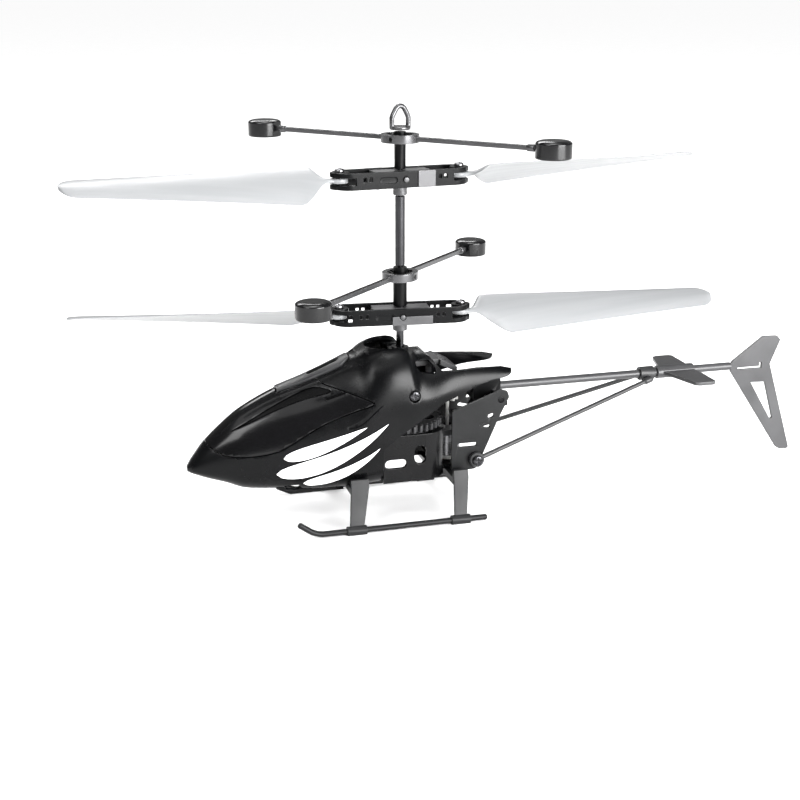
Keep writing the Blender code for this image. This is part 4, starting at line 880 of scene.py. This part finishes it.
def flybar_weight(prefix, letter, material):
    """Round weight with a softly domed top and a flat where the bar enters."""
    half, r = WEIGHT_HALF_HEIGHT, WEIGHT_RADIUS
    corner = [(r - 0.0004 * (1 - math.sin(t)), 0.0004 * (1 - math.cos(t)) - half)
              for t in (math.pi / 2 * k / 5 for k in range(6))]
    dome = [(r - 0.0018 * (1 - math.cos(t)), half - 0.0009 * (1 - math.sin(t)))
            for t in (math.pi / 2 * k / 9 for k in range(10))]
    body = turned([(0.0030, -half)] + corner + dome + [(0.0010, half)], segments=64)
    side = 1 if letter == "a" else -1
    moved(body, Matrix.Translation((side * FLYBAR_RADIUS, 0, 0)))
    outside, facet, bore_end = (side * (FLYBAR_RADIUS - d) for d in (0.0080, 0.0043, -0.0013))
    x0, x1 = sorted((outside, facet))
    cut(body, block((x0, -0.0060, -0.0040), (x1, 0.0060, 0.0040)),
        rod((outside, 0, 0), (bore_end, 0, 0), 0.00055))
    smoothed(body, 0.00008, sharp=40)
    moved(body, placed(prefix, "_flybar_tilt", flybar_turn(prefix)))
    return stand_in(body, material, prefix + "_weight_" + letter)


def mast_tube(node, bore, material):
    """Finely turned tube in place of a CAD tube or rod on a vertical axis."""
    chamfer = 0.00012
    low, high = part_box(node)
    r = (high.y - low.y) / 2
    centre = ((low.x + high.x) / 2, (low.y + high.y) / 2)
    outside = [(r - chamfer, low.z), (r, low.z + chamfer), (r, high.z - chamfer), (r - chamfer, high.z)]
    if bore:
        tube = turned([(bore, low.z)] + outside + [(bore, high.z)], centre, closed=True)
    else:
        tube = turned(outside, centre)
    return stand_in(smoothed(tube), material, node)


def top_loop(material):
    """Pointed loop of rounded strap on a small round foot."""
    low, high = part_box("top_loop")
    foot, peak = low.z, high.z
    path = [(-0.0024, foot + 0.0004), (-0.0024, foot + 0.0016), (-0.0024, peak - 0.0052),
            (-0.0024, peak - 0.0038), (-0.0021, peak - 0.0030), (-0.0012, peak - 0.0014),
            (-0.0006, peak - 0.0009), (0.0, peak - 0.00074)]
    path += [(-x, z) for x, z in reversed(path[:-1])]
    strap = swept([(x, 0, z) for x, z in path], [0.00066] * len(path), 20, 1.15)
    base = turned([(0.0026, foot), (0.0028, foot + 0.0002), (0.0028, foot + 0.0007), (0.0026, foot + 0.0009)])
    join(strap, base)
    smoothed(strap, 0.00006)
    moved(strap, TO_FRAME @ Matrix.Rotation(math.radians(12), 4, "Z"))
    return stand_in(strap, material, "top_loop")


# ---- drive ----
def motor(node, steel, trim):
    """Motor can with a rolled top and a pale end cap."""
    low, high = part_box(node)
    r = (high.x - low.x) / 2
    centre = ((low.x + high.x) / 2, 0.0)
    seam = low.z + 0.0012
    can = turned([(r - 0.0001, seam), (r, seam + 0.0001), (r, high.z - 0.0005), (r - 0.0002, high.z - 0.0002),
                  (r - 0.0006, high.z), (0.0016, high.z), (0.0015, high.z - 0.0003)], centre)
    cap = turned([(0.0011, low.z + 0.0001), (r - 0.0005, low.z), (r - 0.0002, low.z + 0.0003),
                  (r - 0.0002, seam - 0.00008)], centre)
    for sign in (-1, 1):
        cut(cap, block((centre[0] - 0.0007, sign * r - 0.0006, low.z - 0.001),
                       (centre[0] + 0.0007, sign * r + 0.0006, low.z + 0.0008)))
    stand_in(smoothed(can, 0.00005), steel, node)
    return extra(smoothed(cap, 0.00005), node + "_cap", trim, node)


# ---- tail and landing gear ----
def boom_tube(material):
    """Tail tube, open at its rear end."""
    low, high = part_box("tail_boom")
    r = (high.z - low.z) / 2
    level = (high.z + low.z) / 2
    tube = turned([(r - 0.0004, low.x), (r - 0.0001, low.x), (r, low.x + 0.0001), (r, high.x - 0.0001),
                   (r - 0.0001, high.x), (r - 0.0004, high.x)], closed=True)
    lay = Matrix.Translation((0, 0, level)) @ Matrix.Rotation(math.pi / 2, 4, "Y")
    return stand_in(smoothed(moved(tube, lay)), material, "tail_boom")


def strut(node, side, material):
    """Drawn wire brace with its flattened eye."""
    front = Vector((OFFSET + 0.0204, side * 0.0111, 0.0163))
    rear = Vector((OFFSET + 0.0740, side * 0.0030, 0.0321))
    along = (rear - front).normalized()
    tip = rear + along * 0.0010
    bar = swept([front, rear - along * 0.0016, rear - along * 0.0012, tip - along * 0.0002, tip],
                [0.00065, 0.00065, 0.00095, 0.00095, 0.00070])
    eye_y0, eye_y1 = sorted((side * 0.0104, side * 0.0118))
    x, z = OFFSET + STRUT_EYE[0], STRUT_EYE[1]
    join(bar, rod((x, eye_y0, z), (x, eye_y1, z), 0.0021, 0.0002, 44))
    cut(bar, rod((x, side * 0.0100, z), (x, side * 0.0125, z), 0.00095))
    return stand_in(smoothed(bar, 0.00006), material, node)


def skid(node, material):
    """Skid rod with its front end bent up in a smooth curve."""
    low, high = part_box(node)
    y = (low.y + high.y) / 2
    r = (high.y - low.y) / 2
    z = low.z + r
    start = Vector((OFFSET - 0.0328, y, z + 0.0034))
    corner = Vector((OFFSET - 0.0282, y, z + 0.0001))
    level = Vector((OFFSET - 0.0258, y, z))
    path = [start, start.lerp(corner, 0.06), start.lerp(corner, 0.62)]
    knee = path[-1]
    for t in (k / 8 for k in range(1, 9)):
        path.append(((1 - t) ** 2) * knee + 2 * t * (1 - t) * corner + t * t * level)
    path += [Vector((high.x - 0.0003, y, z)), Vector((high.x, y, z))]
    radii = [r * 0.75] + [r] * (len(path) - 2) + [r * 0.75]
    return stand_in(smoothed(swept(path, radii)), material, node)


# ---- stage ----
def area_light(name, place, target, width, height, power):
    """Soft rectangular light aimed at a point."""
    light = bpy.data.lights.new(name, "AREA")
    light.shape = "RECTANGLE"
    light.size = width
    light.size_y = height
    light.energy = power
    obj = bpy.data.objects.new(name, light)
    bpy.context.scene.collection.objects.link(obj)
    obj.location = place
    obj.rotation_euler = (Vector(target) - Vector(place)).to_track_quat("-Z", "Y").to_euler()


def studio():
    """Pale floor, soft sky, soft lights and the camera."""
    floor = turned([(30.0, -0.02), (30.0, 0.0)], segments=96)
    floor.name = "studio_floor"
    floor.data.materials.append(floor_paper("studio_floor"))

    world = bpy.data.worlds.new("studio")
    world.use_nodes = True
    sky = world.node_tree.nodes["Background"]
    sky.inputs["Color"].default_value = (1.0, 1.0, 1.0, 1.0)
    sky.inputs["Strength"].default_value = 0.25
    bpy.context.scene.world = world

    sun = bpy.data.lights.new("ceiling", "SUN")
    sun.energy = 2.6
    sun.angle = math.radians(75)
    ceiling = bpy.data.objects.new("ceiling", sun)
    bpy.context.scene.collection.objects.link(ceiling)
    ceiling.rotation_euler = (math.radians(12), math.radians(-8), 0)

    middle = (OFFSET, 0.0, 0.035)
    area_light("back_card", (-0.05, 0.78, 0.66), middle, 0.80, 0.16, 5.5)
    area_light("right_card", (0.39, -0.70, 0.20), middle, 0.63, 0.34, 23.0)
    area_light("top_card", (-0.06, -0.04, 1.05), middle, 0.36, 0.36, 4.0)
    area_light("left_card", (-0.63, -0.45, 0.60), middle, 0.34, 0.34, 4.2)

    forward = Vector((math.sin(CAMERA_AZIMUTH), math.cos(CAMERA_AZIMUTH), 0)) * math.cos(CAMERA_DROP)
    forward.z = -math.sin(CAMERA_DROP)
    right = Vector((math.cos(CAMERA_AZIMUTH), -math.sin(CAMERA_AZIMUTH), 0))
    up = right.cross(forward)
    place = CAMERA_TARGET - forward * CAMERA_DISTANCE
    camera = bpy.data.objects.new("camera", bpy.data.cameras.new("camera"))
    bpy.context.scene.collection.objects.link(camera)
    camera.data.lens = CAMERA_LENS
    camera.data.sensor_width = 36
    camera.data.clip_start = 0.01
    camera.data.clip_end = 50
    rows = [(right[k], up[k], -forward[k], place[k]) for k in range(3)] + [(0, 0, 0, 1)]
    camera.matrix_world = Matrix(rows)
    bpy.context.scene.camera = camera
    bpy.context.scene.view_settings.view_transform = "Standard"


# ---- assembly ----
def make_looks():
    """Every material of the helicopter by a short name."""
    return {
        "canopy": moulded("canopy_paint", (0.0010, 0.0011, 0.0013), 0.27, specular=0.12, grain=6500,
                          depth=0.000008, wear_and_highlight=3.5),
        "window": window_plastic("window_gloss", (0.0014, 0.0014, 0.0016), 0.17, 0.18, 0.06),
        "glass": window_plastic("side_window_gloss", (0.0008, 0.0008, 0.0009), 0.25, 0.05, 0.0),
        "trim": moulded("trim_grain", (0.014, 0.0142, 0.015), 0.40, specular=0.30, grain=4200, wear_and_highlight=2.4),
        "frame": moulded("frame_paint", (0.0038, 0.0040, 0.0043), 0.42, specular=0.16, wear_and_highlight=2.6),
        "chassis": moulded("chassis_paint", (0.0015, 0.0015, 0.0017), 0.26, specular=0.14, wear_and_highlight=4.0),
        "leg": moulded("leg_paint", (0.0095, 0.0097, 0.0102), 0.42, specular=0.14, wear_and_highlight=1.9),
        "dark": moulded("dark_nylon", (0.0015, 0.0016, 0.0018), 0.34, specular=0.08, grain=3800, wear_and_highlight=3.0),
        "hub": moulded("hub_metal", (0.052, 0.052, 0.054), 0.38, 0.5, 0.4, wear_and_highlight=1.8),
        "steel": turned_steel("steel_turned", (0.16, 0.16, 0.165), 0.30),
        "shaft": turned_steel("shaft_dark", (0.034, 0.034, 0.036), 0.20),
        "bar": moulded("bar_gloss", (0.060, 0.060, 0.062), 0.24, 0.75, 0.5, grain=4200, wear_and_highlight=2.6),
        "weight": moulded("weight_gloss", (0.0024, 0.0024, 0.0027), 0.17, specular=0.30, grain=3800,
                          depth=0.000003, wear_and_highlight=3.0),
        "gear": moulded("gear_nylon", (0.012, 0.012, 0.013), 0.45, specular=0.25, grain=2600, wear_and_highlight=2.2),
        "tail": moulded("tail_paint", (0.034, 0.034, 0.0355), 0.40, 0.25, 0.4, depth=0.000012, wear_and_highlight=1.6),
        "battery": moulded("battery_wrap", (0.20, 0.21, 0.24), 0.35, grain=600, depth=0.00005, wear_and_highlight=1.2),
        "board": circuit_plastic("board_green"),
        "white": moulded("white_nylon", (0.45, 0.45, 0.435), 0.45, grain=2600, depth=0.00002, wear_and_highlight=1.1),
        "print": printed_white("graphic_white"),
    }


def build():
    """Make every visible piece and the stage around them."""
    looks = make_looks()
    shell = detailed_skin()
    nose = shell.copy()
    nose.data = shell.data.copy()
    bpy.context.scene.collection.objects.link(nose)
    canopy_body(shell, looks["canopy"])
    windshield(nose, (looks["window"], looks["glass"]))
    crown_panel(looks["trim"])
    flank_graphic("flank_graphic_left", -1, looks["print"])
    flank_graphic("flank_graphic_right", 1, looks["print"])

    for prefix, lead_side in (("upper", -1), ("lower", 1)):
        hub_frame(prefix, looks["dark"])
        plastic = blade_plastic(prefix + "_blade_milk", blade_turn(prefix))
        for letter in ("a", "b"):
            blade(prefix, letter, lead_side, plastic)
            node = prefix + "_blade_pin_" + letter
            low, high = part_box(node)
            place = Matrix.Translation(((low.x + high.x) / 2, (low.y + high.y) / 2, high.z - 0.0009))
            pan_screw(node, place, looks["steel"], radius=0.0013, shank=0.0006, length=0.0047, head=0.0009)
            flybar_weight(prefix, letter, looks["weight"])
        flybar(prefix, looks["bar"])
        hub_trim(prefix, looks["hub"], looks["steel"])
        refined(prefix + "_hub_core", looks["hub"])
        refined(prefix + "_flybar_post", looks["dark"], 0.00008)
    mast_tube("inner_shaft", 0.0, looks["shaft"])
    mast_tube("outer_shaft", 0.00072, looks["shaft"])
    mast_tube("mast_sleeve", 0.00065, looks["shaft"])
    mast_tube("lower_bearing", 0.00065, looks["dark"])
    top_loop(looks["bar"])

    motor("motor_front", looks["steel"], looks["white"])
    motor("motor_rear", looks["steel"], looks["white"])
    for node in ("lower_gear", "upper_gear"):
        refined(node, looks["gear"], 0.00004)
    for node in ("pinion_front", "pinion_rear", "power_switch"):
        refined(node, looks["white"], 0.00004)

    refined("chassis_shell", looks["chassis"], 0.00012)
    for node in ("side_plate_left", "side_plate_right"):
        refined(node, looks["frame"], 0.00012)
    for node in ("mast_frame", "strut_clip"):
        refined(node, looks["trim"], 0.00010)
    for node in ("boom_clamp", "deck_bearing"):
        refined(node, looks["dark"], 0.00008)
    for node in ("leg_front", "leg_rear"):
        refined(node, looks["leg"], 0.00012)
    boom_tube(looks["tail"])
    refined("tail_fin", looks["tail"], 0.00014)
    refined("tail_plane", looks["tail"], 0.00014)
    for name, side in (("left", -1), ("right", 1)):
        strut("strut_" + name, side, looks["trim"])
        skid("skid_" + name, looks["frame"])
        face = Matrix.Rotation(-side * math.pi / 2, 4, "X")
        for kind, (x, z), y in (("strut", STRUT_EYE, 0.0120), ("canopy", CANOPY_SCREW, 0.0124)):
            place = Matrix.Translation((OFFSET + x, side * y, z)) @ face
            pan_screw(kind + "_screw_" + name, place, looks["shaft"],
                      radius=0.0015, shank=0.00075, length=0.0040, head=0.0007)
    refined("battery", looks["battery"], 0.0004)
    refined("circuit_board", looks["board"], 0.00006)
    studio()


build()
